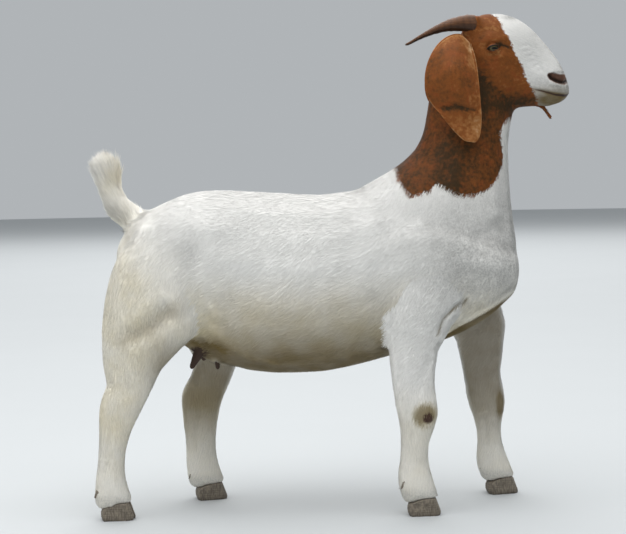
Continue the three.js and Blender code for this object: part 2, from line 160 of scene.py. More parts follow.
class GoatLook(bpy.types.PropertyGroup):
    """The goat's settings"""
    skin_cell: bpy.props.FloatProperty(
        name="Skin cell", description="Side of the skin's even cells",
        default=0.0076, min=0.003, unit="LENGTH",
    )
    coat_length: bpy.props.FloatProperty(
        name="Coat length", description="Length of the hair, as a share of its usual length",
        default=1.0, min=0.3, max=2.0, subtype="FACTOR",
    )
    coat_layers: bpy.props.FloatProperty(
        name="Coat cover", description="How thickly the tufts stand, as a share of the usual cover",
        default=1.0, min=0.1, max=1.5, subtype="FACTOR",
    )
    white: colour_property("White hair", "Body, legs, tail and blaze", "FAF8F3")
    # Cream also paints warm light thrown up from below on the low body, mixed with real staining.
    cream: colour_property("Cream hair", "Rump, tail, hocks and knees", "EEE1BE")
    # Grey also paints shade down the front of the neck and in the hollow before the hip.
    grey: colour_property("Grey hair", "Shaded white of the neck, shoulder and forehead", "A9A8A4")
    # Soiled hair is real staining mixed with painted shade: darker towards the belly, under the brisket, in
    # the creases and on the far legs' inner sides.
    soil: colour_property("Soiled hair", "Underside of belly and brisket", "6E5A29")
    chestnut: colour_property("Chestnut hair", "Head, ears and neck", "874C1C")
    # Dark chestnut also paints the shade under the jaw, behind the cheek under the ear and over the neck.
    rust: colour_property("Red chestnut", "Patches on cheek, ear and neck", "93451C")
    umber: colour_property("Dark chestnut", "Under the jaw and down the neck", "3F2C12")
    tan: colour_property("Light chestnut", "Round the eye and along the ear", "A9723F")
    buff: colour_property("Buff hair", "Rim of the ear", "D2A87C")
    bare: colour_property("Bare skin", "Nose pad and lips", "76503D")
    dark: colour_property("Dark skin", "Nostril, lid edge and lip line", "1C1410")
    udder: colour_property("Udder skin", "Udder and teats", "42332A")
    iris: colour_property("Iris", "Grey green of the eye", "625A38")
    horn: colour_property("Horn", "Upper side of the horn", "6B462C")
    # Dark horn also paints the shade on the horn's underside.
    horn_dark: colour_property("Dark horn", "Rings and under side of the horn", "1E120A")
    claw: colour_property("Claw", "Wall of the claw", "8D8272")
    floor: colour_property("Floor", "Plain floor", "BDC0C1")


# ---------------------------------------------------------------- mesh helpers
def new_object(name, data):
    """An object in the scene round a mesh, a light or a camera."""
    made = bpy.data.objects.new(name, data)
    bpy.context.scene.collection.objects.link(made)
    return made


def new_mesh(name, bm):
    """A mesh made from a bmesh, which is freed."""
    mesh = bpy.data.meshes.new(name)
    bm.to_mesh(mesh)
    bm.free()
    return mesh


def read(items, field, width, kind=np.float32):
    """One field of a mesh's points, edges or faces, as rows."""
    values = np.empty(len(items) * width, kind)
    items.foreach_get(field, values)
    return values.reshape(-1, width).astype(np.float64 if kind is np.float32 else kind)


def points_of(mesh):
    """A mesh's points, in metres."""
    return read(mesh.vertices, "co", 3)


def normals_of(mesh):
    """The way a mesh faces at each of its points."""
    return read(mesh.vertex_normals, "vector", 3)


def set_points(mesh, points):
    mesh.vertices.foreach_set("co", points.astype(np.float32).ravel())
    mesh.update()


def write_values(mesh, name, values):
    """Values on a mesh's points, as a named attribute."""
    kind = "FLOAT" if values.ndim == 1 else "FLOAT_VECTOR"
    attribute = mesh.attributes.get(name) or mesh.attributes.new(name, kind, "POINT")
    attribute.data.foreach_set("value" if values.ndim == 1 else "vector", values.astype(np.float32).ravel())


def read_values(mesh, name):
    attribute = mesh.attributes[name]
    if attribute.data_type == "FLOAT_VECTOR":
        return read(attribute.data, "vector", 3)
    return read(attribute.data, "value", 1)[:, 0]


def copied(names, overlap):
    """The named solids as one mesh, each swollen a little so that neighbours overlap."""
    bm = bmesh.new()
    for name in names:
        bm.from_mesh(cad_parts[name].data)
    bmesh.ops.remove_doubles(bm, verts=bm.verts, dist=1e-5)
    bm.normal_update()
    for vertex in bm.verts:
        vertex.co += vertex.normal * overlap
    return new_mesh("cells", bm)


def modified(mesh, kind, **settings):
    """A mesh with one modifier applied, in place of the mesh."""
    holder = new_object("cells", mesh)
    modifier = holder.modifiers.new("cells", kind)
    for name, value in settings.items():
        setattr(modifier, name, value)
    graph = bpy.context.evaluated_depsgraph_get()
    made = bpy.data.meshes.new_from_object(holder.evaluated_get(graph))
    bpy.data.objects.remove(holder)
    bpy.data.meshes.remove(mesh)
    return made


def remeshed(names, cell, overlap=0.0):
    """One closed mesh of even cells round the named solids."""
    return modified(copied(names, overlap), "REMESH", mode="VOXEL", voxel_size=cell)


def rounded(name, levels):
    """A solid with its facets rounded off, for a leaf that is too thin for even cells."""
    mesh = copied([name], 0.0)
    bm = bmesh.new()
    bm.from_mesh(mesh)
    bmesh.ops.join_triangles(
        bm, faces=bm.faces, angle_face_threshold=math.radians(30), angle_shape_threshold=math.radians(50)
    )
    bm.to_mesh(mesh)
    bm.free()
    return modified(mesh, "SUBSURF", levels=levels, render_levels=levels)


def relaxer(mesh):
    """A function that draws the values at a mesh's points towards those of their neighbours."""
    a, b = read(mesh.edges, "vertices", 2, np.int32).T
    count = len(mesh.vertices)
    near = np.maximum(1, np.bincount(a, minlength=count) + np.bincount(b, minlength=count))

    def relax(values, rounds, share=1.0):
        rows = values.reshape(count, -1).copy()
        pull = 0.5 * (share[:, None] if isinstance(share, np.ndarray) else share)
        for _ in range(rounds):
            total = np.stack(
                [np.bincount(a, row[b], count) + np.bincount(b, row[a], count) for row in rows.T], axis=1
            )
            rows += pull * (total / near[:, None] - rows)
        return rows.reshape(values.shape)

    return relax


def surface_of(mesh):
    """A mesh's faces, for finding the nearest place on them."""
    return BVHTree.FromPolygons([v.co for v in mesh.vertices], [tuple(p.vertices) for p in mesh.polygons])


def standing_out(surface, points):
    """How far each point stands outside a closed surface, in metres."""
    out = np.empty(len(points))
    for i, point in enumerate(map(Vector, points.tolist())):
        nearest, normal, _, distance = surface.find_nearest(point)
        out[i] = math.copysign(distance, (point - nearest).dot(normal))
    return out


def softened(mesh, rounds, depth):
    """Smooths a mesh, which keeps its outline, less the depth; both may be functions of the points."""
    solid = surface_of(mesh)
    relax = relaxer(mesh)
    points = points_of(mesh)
    rounds = rounds(points) if callable(rounds) else np.full(len(points), float(rounds))
    depth = depth(points) if callable(depth) else np.full(len(points), float(depth))
    most = int(rounds.max())
    share = relax(rounds / most, 6)
    depth = relax(depth, 8)
    points = relax(points, most, share)
    set_points(mesh, points)
    for smoothing in (most, most // 3, 4):
        off = relax(standing_out(solid, points) + depth, smoothing, share)
        points -= normals_of(mesh) * off[:, None]
        set_points(mesh, points)
    return mesh


def refine(mesh, chosen):
    """Quarters the faces that lie wholly among the chosen points."""
    bm = bmesh.new()
    bm.from_mesh(mesh)
    bm.verts.ensure_lookup_table()
    edges = [e for e in bm.edges if chosen[e.verts[0].index] and chosen[e.verts[1].index]]
    bmesh.ops.subdivide_edges(bm, edges=edges, cuts=1, use_grid_fill=True)
    bm.to_mesh(mesh)
    bm.free()
    mesh.update()


def smooth_faces(mesh):
    for polygon in mesh.polygons:
        polygon.use_smooth = True


def unit(rows):
    """Rows scaled to a length of 1."""
    return rows / np.maximum(np.linalg.norm(rows, axis=-1, keepdims=True), 1e-9)


def step(low, high, values):
    """0 below low and 1 above high, with a smooth step between; high may be the lower one."""
    t = np.clip((values - low) / (high - low), 0, 1)
    return t * t * (3 - 2 * t)


def bell(values):
    """1 at 0, falling off smoothly to both sides."""
    return np.exp(-0.5 * values * values)


def drift(points, size, seed):
    """A smooth seeded wander between about -1 and 1, turning once in about `size` of the points' unit."""
    chance = np.random.default_rng(seed)
    total = np.zeros(len(points))
    for _ in range(7):
        wave = unit(chance.normal(size=3)) * 2 * math.pi / size * chance.uniform(0.6, 1.6)
        total += np.sin(points @ wave + chance.uniform(0, 2 * math.pi))
    return total / 3.5


def from_path(spots, path):
    """How far spots in the side view are from a path, and how far along it, from 0 to 1."""
    path = np.array(path, float)
    lengths = np.linalg.norm(np.diff(path, axis=0), axis=1)
    starts = np.concatenate([[0], np.cumsum(lengths)])
    best = np.full(len(spots), np.inf)
    along = np.zeros(len(spots))
    for start, end, length, before in zip(path[:-1], path[1:], lengths, starts):
        t = np.clip((spots - start) @ (end - start) / length ** 2, 0, 1)
        distance = np.linalg.norm(spots - start - t[:, None] * (end - start), axis=1)
        nearer = distance < best
        best[nearer] = distance[nearer]
        along[nearer] = (before + t[nearer] * length) / starts[-1]
    return best, along


def inside_edge(spots, outline):
    """How far spots in the side view lie inside a closed outline, negative outside."""
    outline = np.array(outline, float)
    distance, _ = from_path(spots, np.vstack([outline, outline[:1]]))
    inside = np.zeros(len(spots), bool)
    for (x0, z0), (x1, z1) in zip(outline, np.roll(outline, -1, axis=0)):
        crosses = (z0 > spots[:, 1]) != (z1 > spots[:, 1])
        at = x0 + (spots[:, 1] - z0) * (x1 - x0) / (z1 - z0 if z1 != z0 else 1)
        inside ^= crosses & (spots[:, 0] < at)
    return np.where(inside, distance, -distance)


def below_path(spots, path):
    """1 where spots in the side view lie under a path, 0 above it and past its ends."""
    xs, zs = zip(*sorted(path))
    return (spots[:, 1] < np.interp(spots[:, 0], xs, zs)) * (spots[:, 0] > xs[0]) * (spots[:, 0] < xs[-1])


# ---------------------------------------------------------------- regions
def kind_of(node):
    """A node's kind of skin, such as foreleg for foreleg_left."""
    return node.split("_")[0]


def coat_values(nodes, field):
    """A field of COATS for each node."""
    return np.array([getattr(COATS[kind_of(node)], field) for node in nodes], float)


class Regions:
    """Which flesh node each point belongs to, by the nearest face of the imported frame."""

    def __init__(self, nodes):
        self.nodes = nodes
        corners, faces, self.owner = [], [], []
        for index, node in enumerate(nodes):
            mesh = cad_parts[node].data
            first = len(corners)
            corners += [v.co.copy() for v in mesh.vertices]
            faces += [tuple(first + v for v in p.vertices) for p in mesh.polygons]
            self.owner += [index] * len(mesh.polygons)
        self.surface = BVHTree.FromPolygons(corners, faces)

    def at(self, points):
        """The number of the node nearest to each point."""
        near = [self.surface.find_nearest(Vector(p))[2] for p in points.tolist()]
        return np.array(self.owner)[near]

    def kinds(self, points):
        """The kind of skin nearest to each point."""
        return np.array([kind_of(node) for node in self.nodes])[self.at(points)]

    def values(self, points, field):
        """A field of COATS at each point."""
        return coat_values(self.nodes, field)[self.at(points)]


# ---------------------------------------------------------------- skin
class Clay:
    """A mesh's points, in the drawing's millimetres, to be pushed and pressed in the side view."""

    def __init__(self, mesh):
        self.mesh = mesh
        self.relax = relaxer(mesh)
        self.at = drawing(points_of(mesh))
        self.out = normals_of(mesh)

    @property
    def spots(self):
        """The points in the side view."""
        return self.at[:, [0, 2]]

    def facing_aside(self, gain=1.5):
        """1 where the surface faces sideways, falling to 0 where it faces ahead, up or down."""
        return np.clip(np.abs(self.out[:, 1]) * gain, 0, 1)

    def keep(self):
        """Writes the points back to the mesh and takes its new normals."""
        set_points(self.mesh, metres(self.at))
        self.out = normals_of(self.mesh)

    def push(self, height, where=1.0):
        """Moves each point outwards by its height, where allowed."""
        self.at += self.out * (height * where)[:, None]

    def mound(self, x, z, reach, height, tilt=0.0, where=1.0):
        """A soft swelling, or a hollow if height is negative, reaching reach[0] along its tilt."""
        turn = math.radians(tilt)
        dx, dz = self.at[:, 0] - x, self.at[:, 2] - z
        along = dx * math.cos(turn) + dz * math.sin(turn)
        across = dz * math.cos(turn) - dx * math.sin(turn)
        self.push(height * bell(along / reach[0]) * bell(across / reach[1]), where)

    def groove(self, path, width, depth, where=1.0, fade=0.15):
        """A soft furrow along a path, or a ridge if depth is negative, fading out at its ends."""
        distance, along = from_path(self.spots, path)
        ends = np.minimum(1, np.minimum(along, 1 - along) / fade + 0.1) if fade else 1.0
        self.push(-depth * bell(distance / width) * ends, where)


def shape_teats(clay, teat, frame_surface):
    """Draws the refined teats back out to their round outline."""
    for _ in range(3):
        clay.at = clay.relax(clay.at, 2, teat * 0.9)
        clay.keep()
        off = standing_out(frame_surface, metres(clay.at[teat])) / MM
        clay.at[teat] -= clay.out[teat] * off[:, None]
        clay.keep()


def moved(path, dx, dz):
    """A path in the side view, moved."""
    return [(x + dx, z + dz) for x, z in path]


def shape_body(clay):
    """Muscles, bones and folds of trunk, neck and the legs' upper ends."""
    aside = clay.facing_aside(1.6)
    y = clay.at[:, 1]
    outer = aside * np.clip(np.abs(y) / 60, 0, 1)
    right = (y < 0) * outer
    left = (y > 0) * outer
    # behind the shoulder, the shoulder blade and the upper arm
    clay.groove([(162, 640), (146, 555), (134, 490), (123, 423)], 21, 5.0, outer)
    clay.groove([(205, 620), (235, 545), (268, 480)], 30, -4.0, outer)
    clay.groove([(240, 470), (215, 425), (200, 380)], 26, -3.0, right)
    # the base of the neck, with its folds
    clay.mound(396, 600, (20, 16), -4.5, 20, outer)
    clay.groove([(404, 660), (398, 610), (372, 570)], 16, 2.4, outer)
    clay.groove([(330, 660), (345, 600), (346, 530)], 18, 2.4, outer)
    clay.mound(385, 625, (12, 8), 2.0, 20, outer)
    # in front of the forelegs, and behind the elbow
    clay.groove(ARM_CREASE, 4.5, 5.0, right)
    clay.groove([(350, 470), (372, 430), (390, 400)], 7, 3.5, left)
    clay.mound(150, 420, (26, 24), -3.5, -30, outer)
    # the hollow behind the hip, the hip bone, the rump, the hollow of the flank and the loin
    clay.mound(-254, 558, (22, 28), -4.5, 0, outer)
    clay.mound(-222, 604, (28, 18), 3.2, 0, outer)
    clay.mound(-330, 610, (46, 26), 2.6, -20, outer)
    clay.mound(-167, 446, (36, 66), -7.0, -35, outer)
    clay.mound(-150, 590, (60, 22), -2.4, 6, outer)
    # the thigh, with the crease under it
    clay.groove(THIGH_CREASE, 16, 8.0, right)
    clay.groove([(-370, 392), (-320, 420), (-262, 455)], 16, 6.0, left)
    clay.groove(moved(THIGH_CREASE, -8, 34), 16, -3.0, outer)
    clay.groove(moved(THIGH_CREASE, 10, -34), 16, -3.0, outer)
    clay.mound(-330, 520, (60, 60), 3.0, 60, outer)
    clay.groove([(-262, 455), (-240, 400), (-226, 350)], 13, 3.0, outer)
    for rib in range(6):
        start = 70 - rib * 42
        clay.groove([(start, 560), (start - 26, 500), (start - 38, 440)], 11, 0.9, outer)
    # the fold of skin from flank to belly, and the belly's lower edge
    clay.groove(BELLY_RIDGE, 10, -3.2, right)
    clay.groove([(-126, 330), (-66, 313), (0, 306), (60, 308)], 6, -2.2, aside)
    clay.groove([(-120, 320), (-60, 303), (0, 297)], 6, 1.6, aside)
    # the brisket's edge, with the fold that hangs under it
    fold = moved(BRISKET_EDGE, -5, -12)
    clay.groove(BRISKET_EDGE, 5, -4.0, aside)
    clay.groove(fold, 6, 6.0, aside)
    under = np.clip(-clay.out[:, 2], 0, 1) * below_path(clay.spots, moved(BRISKET_EDGE, 0, 8))
    clay.at[:, 2] -= 9 * clay.relax(under * bell(from_path(clay.spots, fold)[0] / 16), 4)
    clay.keep()


def shape_legs(clay, region):
    """Tendons, knees and hocks."""
    aside = clay.facing_aside()
    side_of = {-1: clay.at[:, 1] < 0, 1: clay.at[:, 1] > 0}
    fore = region == "foreleg"
    hind = region == "hindleg"

    # for each leg its side, the middle of its knee or hock, and a point on its cannon bone
    for side, knee, shin in ((-1, (214, 216), (205, 130)), (1, (382, 216), (385, 128))):
        leg = fore & side_of[side]
        clay.mound(knee[0] + 10, knee[1] + 4, (20, 16), 2.2, 0, leg * aside)
        clay.groove(moved([(-12, -34)], *knee) + moved([(-9, 20), (-10, -22)], *shin), 4.5, 2.2, leg * aside)
        clay.groove(moved([(30, 120), (6, 74), (-6, 36)], *knee), 7, 1.8, leg * aside)
        clay.mound(shin[0] - 4, 72, (20, 12), 1.6, 0, leg * aside)
    for side, hock, shin in ((-1, (-412, 262), (-428, 150)), (1, (-246, 240), (-258, 146))):
        leg = hind & side_of[side]
        clay.groove(moved([(-2, 70), (-16, 36), (-18, 12)], *hock), 7, 3.2, leg * aside)
        clay.mound(hock[0] + 12, hock[1] - 6, (16, 15), 2.0, 0, leg * aside)
        clay.groove(moved([(-8, -36)], *hock) + moved([(-6, 10), (-6, -44)], *shin), 4.5, 2.2, leg * aside)
        clay.mound(shin[0] - 4, 78, (20, 12), 1.6, 0, leg * aside)
    clay.mound(*CALLUS, (7, 8), 2.6, 0, (fore & side_of[-1]) * aside)
    # the bone behind each knee, the far knee's front, and the heels, on the legs' outlines
    for legs, side, x, z, reach, height in (
        (fore, -1, 168, 222, 24, 4.0), (fore, 1, 342, 205, 26, 5.5), (fore, 1, 414, 205, 22, 3.0),
        (fore, -1, 180, 34, 13, 4.0), (fore, 1, 356, 34, 13, 3.5),
        (hind, -1, -456, 30, 14, 5.0), (hind, 1, -286, 30, 14, 5.0),
    ):
        clay.mound(x, z, (14, reach), height, 0, legs & side_of[side])
    clay.keep()


def outside_horns(at):
    """How far points stand outside the horns, in millimetres; far-off points are only called far."""
    horns = copied(HORNS, 0.0)
    off = np.full(len(at), 100.0)
    close = np.flatnonzero((at[:, 0] < 400) & (at[:, 2] > 975))
    off[close] = standing_out(surface_of(horns), metres(at[close])) / MM
    bpy.data.meshes.remove(horns)
    return off


def shape_head(clay, region):
    """Brow, cheek, muzzle, mouth and nostrils."""
    head = (region == "head") * 1.0
    aside = clay.facing_aside() * head
    # the brow bone over the eye, and the cheek bone under it with the furrow along it
    clay.mound(392, 990, (18, 5), 3.2, 10, aside)
    clay.groove([(362, 1006), (379, 1013), (397, 1010)], 3.0, 1.0, aside)
    clay.mound(404, 958, (22, 6), 1.6, -14, aside)
    clay.groove([(420, 958), (446, 940), (470, 922), (492, 912)], 7, -1.5, aside)
    clay.groove([(425, 944), (448, 924), (470, 908)], 9, 1.5, aside)
    clay.groove([(362, 900), (384, 876), (420, 868), (455, 872)], 9, -1.6, aside)
    clay.groove([(352, 985), (356, 950), (362, 915)], 8, 2.0, aside)
    # wrinkles across the bridge of the nose
    for drop in (-8, 3, 13, 24, 34, 45):
        line = [(444 + drop * 0.75, 968), (464 + drop * 0.6, 973), (486 + drop * 0.3, 962)]
        clay.groove(moved(line, 0, -drop), 2.4, 1.5, aside, 0.3)
    # the nostrils with the folds over and under them, and the lips
    clay.mound(522, 911, (13, 6), -1.6, -12, aside)
    clay.groove(NOSTRIL_SLIT, 2.8, 7.5, aside, 0)
    clay.groove([(505, 921), (517, 926), (530, 926), (543, 922)], 4.0, -1.6, aside)
    clay.groove([(506, 904), (518, 896), (533, 893), (545, 897)], 4.0, -1.8, aside)
    clay.groove(MOUTH, 1.9, 3.0, head, 0.25)
    clay.groove(moved(MOUTH[1:], -2, 7), 4, -1.2, head)
    clay.groove(moved(MOUTH[1:], -4, -7), 4, -1.0, head)
    front = bell(clay.at[:, 1] / 1.7) * step(530, 545, clay.at[:, 0]) * head
    clay.push(-2.2 * step(872, 878, clay.at[:, 2]) * step(906, 898, clay.at[:, 2]), front)
    clay.keep()


# The eye's opening, in millimetres: its middle in the side view, half its length, how far the lids
# rise and fall from the middle line, and the slant up towards the nose in degrees.
LIDS = {"middle": (387, 972.6), "half": 11.2, "up": 4.9, "down": 4.0, "slant": 12}
LID_DEPTH = 1.6
# How far the socket's floor stands outside the middle of the eyeball, and the part of the skin
# within this reach of the eye that is shaped with it.
SOCKET_FLOOR = 3
LID_REACH = 30
# Points this close to the opening's edge are drawn onto it, so that the opening is clean.
EDGE_REACH = 0.42


def lid_edge(spots):
    """How far spots in the side view are outside the eye's opening, with each as (along, up) from
    its middle, and the opening's rim in the same terms."""
    turn = math.radians(LIDS["slant"])
    d = spots - np.array(LIDS["middle"])
    along = d[:, 0] * math.cos(turn) + d[:, 1] * math.sin(turn)
    up = d[:, 1] * math.cos(turn) - d[:, 0] * math.sin(turn)
    angles = np.linspace(0, 2 * math.pi, 97)
    height = np.where(angles < math.pi, LIDS["up"], LIDS["down"])
    rise = np.sin(angles) * height * np.abs(np.sin(angles)) ** 0.25
    rim = np.stack([LIDS["half"] * np.cos(angles), rise], axis=1)
    local = np.stack([along, up], axis=1)
    return -inside_edge(local, rim[:-1]), local, rim


def shape_eyes(clay, region):
    """Lids that wrap the eyeball, and the open socket behind their edge."""
    x, y, z = clay.at.T
    outward = (region == "head") & (np.abs(y) > EYE.y - 12) & (np.abs(clay.out[:, 1]) > 0.2)
    reach = np.hypot(x - EYE.x, z - EYE.z)
    near = outward & (reach < LID_REACH)
    side = np.sign(y)
    outside, local, rim = lid_edge(clay.spots)

    ball = EYE_RADIUS + LID_DEPTH
    cap = EYE.y + np.sqrt(np.maximum(0, ball ** 2 - np.minimum(reach, ball * 0.86) ** 2))
    hold = step(21, 12.5, reach)
    y[near] += (side * hold * (np.maximum(cap, np.abs(y) - 1) - np.abs(y)))[near]

    fold = bell((outside - 5.2) / 1.2) * step(-1, 2, local[:, 1]) * step(14, 9, np.abs(local[:, 0]))
    bag = bell((outside - 4.6) / 1.1) * step(1, -2, local[:, 1]) * step(12, 7, np.abs(local[:, 0]))
    lid = bell((outside - 2.0) / 1.6)
    y[near] += (side * (lid * 0.9 - fold * 1.7 - bag * 0.5))[near]

    turn = math.radians(LIDS["slant"])
    at_edge = np.flatnonzero(near & (np.abs(outside) < EDGE_REACH))
    for i in at_edge:
        target = rim[np.argmin(np.sum((rim - local[i]) ** 2, axis=1))]
        x[i] = LIDS["middle"][0] + target[0] * math.cos(turn) - target[1] * math.sin(turn)
        z[i] = LIDS["middle"][1] + target[1] * math.cos(turn) + target[0] * math.sin(turn)
    hollow = near & (outside <= -EDGE_REACH)
    y[hollow] = (side * (EYE.y + SOCKET_FLOOR))[hollow]
    clay.at = np.stack([x, y, z], axis=1)
    clay.groove(TEAR_LINE, 1.5, 1.5, near * 1.0, 0.2)
    clay.keep()


def shape_ear(clay):
    """The fold across the tip, the rolled rim and the veins of a hanging ear."""
    _, y, z = clay.at.T
    side = np.sign(y.mean())
    distance, _ = from_path(clay.spots, EAR_CREASE)
    below = step(850, 838, z)
    bend = -3.0 * bell(distance / 3.5) + 2.5 * below * bell((z - 832) / 14)
    for start, drop in ((292, 120), (312, 135), (332, 120)):
        vein, _ = from_path(clay.spots, [(start + 24, 980), (start + 4, 930), (start - 8, 980 - drop)])
        bend += 0.9 * bell(vein / 2.6)
    bend += 1.4 * drift(clay.at, 70, 5) + 0.5 * drift(clay.at, 24, 6)
    clay.at[:, 1] += side * bend
    clay.keep()


def ease_joins(clay, region):
    """Melts the tops of the legs into the body, all but the crease in front of the near foreleg."""
    _, y, z = clay.at.T
    limb = clay.relax(np.isin(region, LEG_KINDS) * 1.0, 8)
    off_crease = np.where(y < 0, step(8, 26, from_path(clay.spots, ARM_CREASE)[0]), 1)
    clay.at = clay.relax(clay.at, 30, 4 * limb * (1 - limb) * step(375, 425, z) * off_crease)
    clay.keep()


# Where the skin's cells are made finer, in millimetres: over a leg up to this height, this near a
# fold, ahead of this place and below this height on the muzzle, and this near the eye and its opening.
LEG_TOP = 330
FOLD_REACH = 14
MUZZLE_BACK = 478
MUZZLE_TOP = 935
EYE_REACH = 32
OPENING_REACH = 18


def body_mesh(look, regions):
    """The body without its ears as one mesh, the coat's depth inside the frame, with finer cells where
    there is finer shape."""
    rooted = Regions(FLESH + HORNS)

    def depth(points):
        """The coat's depth; on the horns the skin wraps their foot, then runs on inside them."""
        x = drawing(points)[:, 0]
        in_horn = rooted.kinds(points) == "horn"
        cuff = np.interp(x, HORN_CUFF, HORN_CUFF_DEPTH)
        return np.where(in_horn, cuff, rooted.values(points, "depth")) * MM

    solid = remeshed(FLESH + HORNS, look.skin_cell, SWELL)
    mesh = softened(solid, rounds=lambda points: rooted.values(points, "rounds"), depth=depth)
    region = regions.kinds(points_of(mesh))
    spots = drawing(points_of(mesh))[:, [0, 2]]
    upper_leg = np.isin(region, LEG_KINDS) & (spots[:, 1] > LEG_TOP)
    folds = [from_path(spots, path)[0] < FOLD_REACH for path in (BRISKET_EDGE, ARM_CREASE, BELLY_RIDGE)]
    refine(mesh, ~(np.isin(region, ["trunk", "neck"]) | upper_leg) | np.any(folds, axis=0))
    x, y, z = drawing(points_of(mesh)).T
    muzzle = (x > MUZZLE_BACK) & (z < MUZZLE_TOP)
    eyes = (np.hypot(x - EYE.x, z - EYE.z) < EYE_REACH) & (np.abs(y) > 25)
    refine(mesh, muzzle | eyes)
    x, y, z = drawing(points_of(mesh)).T
    refine(mesh, (np.hypot(x - EYE.x, (z - EYE.z) * 1.5) < OPENING_REACH) & (np.abs(y) > 35))
    for _ in range(2):
        refine(mesh, regions.kinds(points_of(mesh)) == "teat")
    return mesh


def sculpt_body(mesh, regions):
    """Shapes the body's mesh, from its joins to its eyelids."""
    clay = Clay(mesh)
    region = regions.kinds(points_of(mesh))
    fine = clay.relax((~np.isin(region, ["trunk", "neck"])) * 1.0, 3)
    clay.at = clay.relax(clay.at, 5, fine * 0.9)
    clay.keep()
    ease_joins(clay, region)
    shape_teats(clay, region == "teat", regions.surface)
    shape_body(clay)
    shape_legs(clay, region)
    shape_head(clay, region)
    shape_eyes(clay, region)


def build_skin(look):
    """The skin of the whole animal as one object, with the lie of its hair and its markings on it."""
    regions = Regions(FLESH)
    body = body_mesh(look, regions)
    sculpt_body(body, regions)
    bm = bmesh.new()
    bm.from_mesh(body)
    bpy.data.meshes.remove(body)
    for ear in EARS:
        leaf = softened(rounded(ear, 2), COATS["ear"].rounds, COATS["ear"].depth * MM)
        shape_ear(Clay(leaf))
        bm.from_mesh(leaf)
        bpy.data.meshes.remove(leaf)
    mesh = new_mesh("skin", bm)
    smooth_faces(mesh)

    everything = Regions(FLESH + EARS)
    points = points_of(mesh)
    region = everything.kinds(points)
    normal = normals_of(mesh)
    at = drawing(points)
    write_values(mesh, "node", everything.at(points).astype(float))
    write_values(mesh, "flow", lie_of_hair(mesh, at, normal, region))
    for name, values in {**markings(at, normal, region), **bare_places(at, normal, region)}.items():
        write_values(mesh, name, values)
    return new_object("skin", mesh)


# ---------------------------------------------------------------- lie and markings of the coat
def along_surface(way, normal):
    """Directions turned to lie along the surface."""
    return unit(way - normal * np.sum(way * normal, axis=1, keepdims=True))


def lie_of_hair(mesh, at, normal, region):
    """The way the hair grows at each point, along the surface."""
    x, y, z = at.T
    side = np.sign(y)
    way = np.zeros_like(at)

    def lay(where, dx, dy, dz):
        way[where] = np.stack(np.broadcast_arrays(dx, dy * side, dz), axis=1)[where]

    trunk = np.isin(region, ["trunk", "udder", "teat"])
    back = step(600, 690, z)
    rump = step(-300, -400, x)
    chest = step(300, 400, x)
    belly = step(360, 300, z)
    drop = -0.62 - 0.9 * chest - 1.3 * rump + 0.5 * back + 0.45 * belly
    lay(trunk, -1 + 0.75 * rump + 0.75 * chest, 0.15 * back, drop)
    lay(region == "neck", -0.42 + 0.5 * step(390, 430, x), 0.1, -1)
    back_of_arm = 0.8 * step(240, 310, z) * step(460, 400, z)
    lay(region == "foreleg", -0.45 * step(380, 480, z) - back_of_arm - 0.08, 0, -1)
    lay(region == "hindleg", -0.5 * step(400, 520, z) - 0.08, 0, -1)
    lay(region == "tail", -0.45, 0, 1)
    lay(region == "ear", -0.1 - 0.7 * step(985, 1010, z), 0, -1)
    jaw = step(915, 870, z)
    crown = step(985, 1040, z)
    lay(region == "head", -1, 0.2, 0.35 + 0.35 * crown - 0.75 * jaw + 0.25 * step(470, 520, x))

    relax = relaxer(mesh)
    way = along_surface(relax(unit(way), 10), normal)
    turn = 0.22 * drift(at, 150, 11) + 0.16 * drift(at, 38, 12)
    across = np.cross(normal, way)
    return unit(way * np.cos(turn)[:, None] + across * np.sin(turn)[:, None])


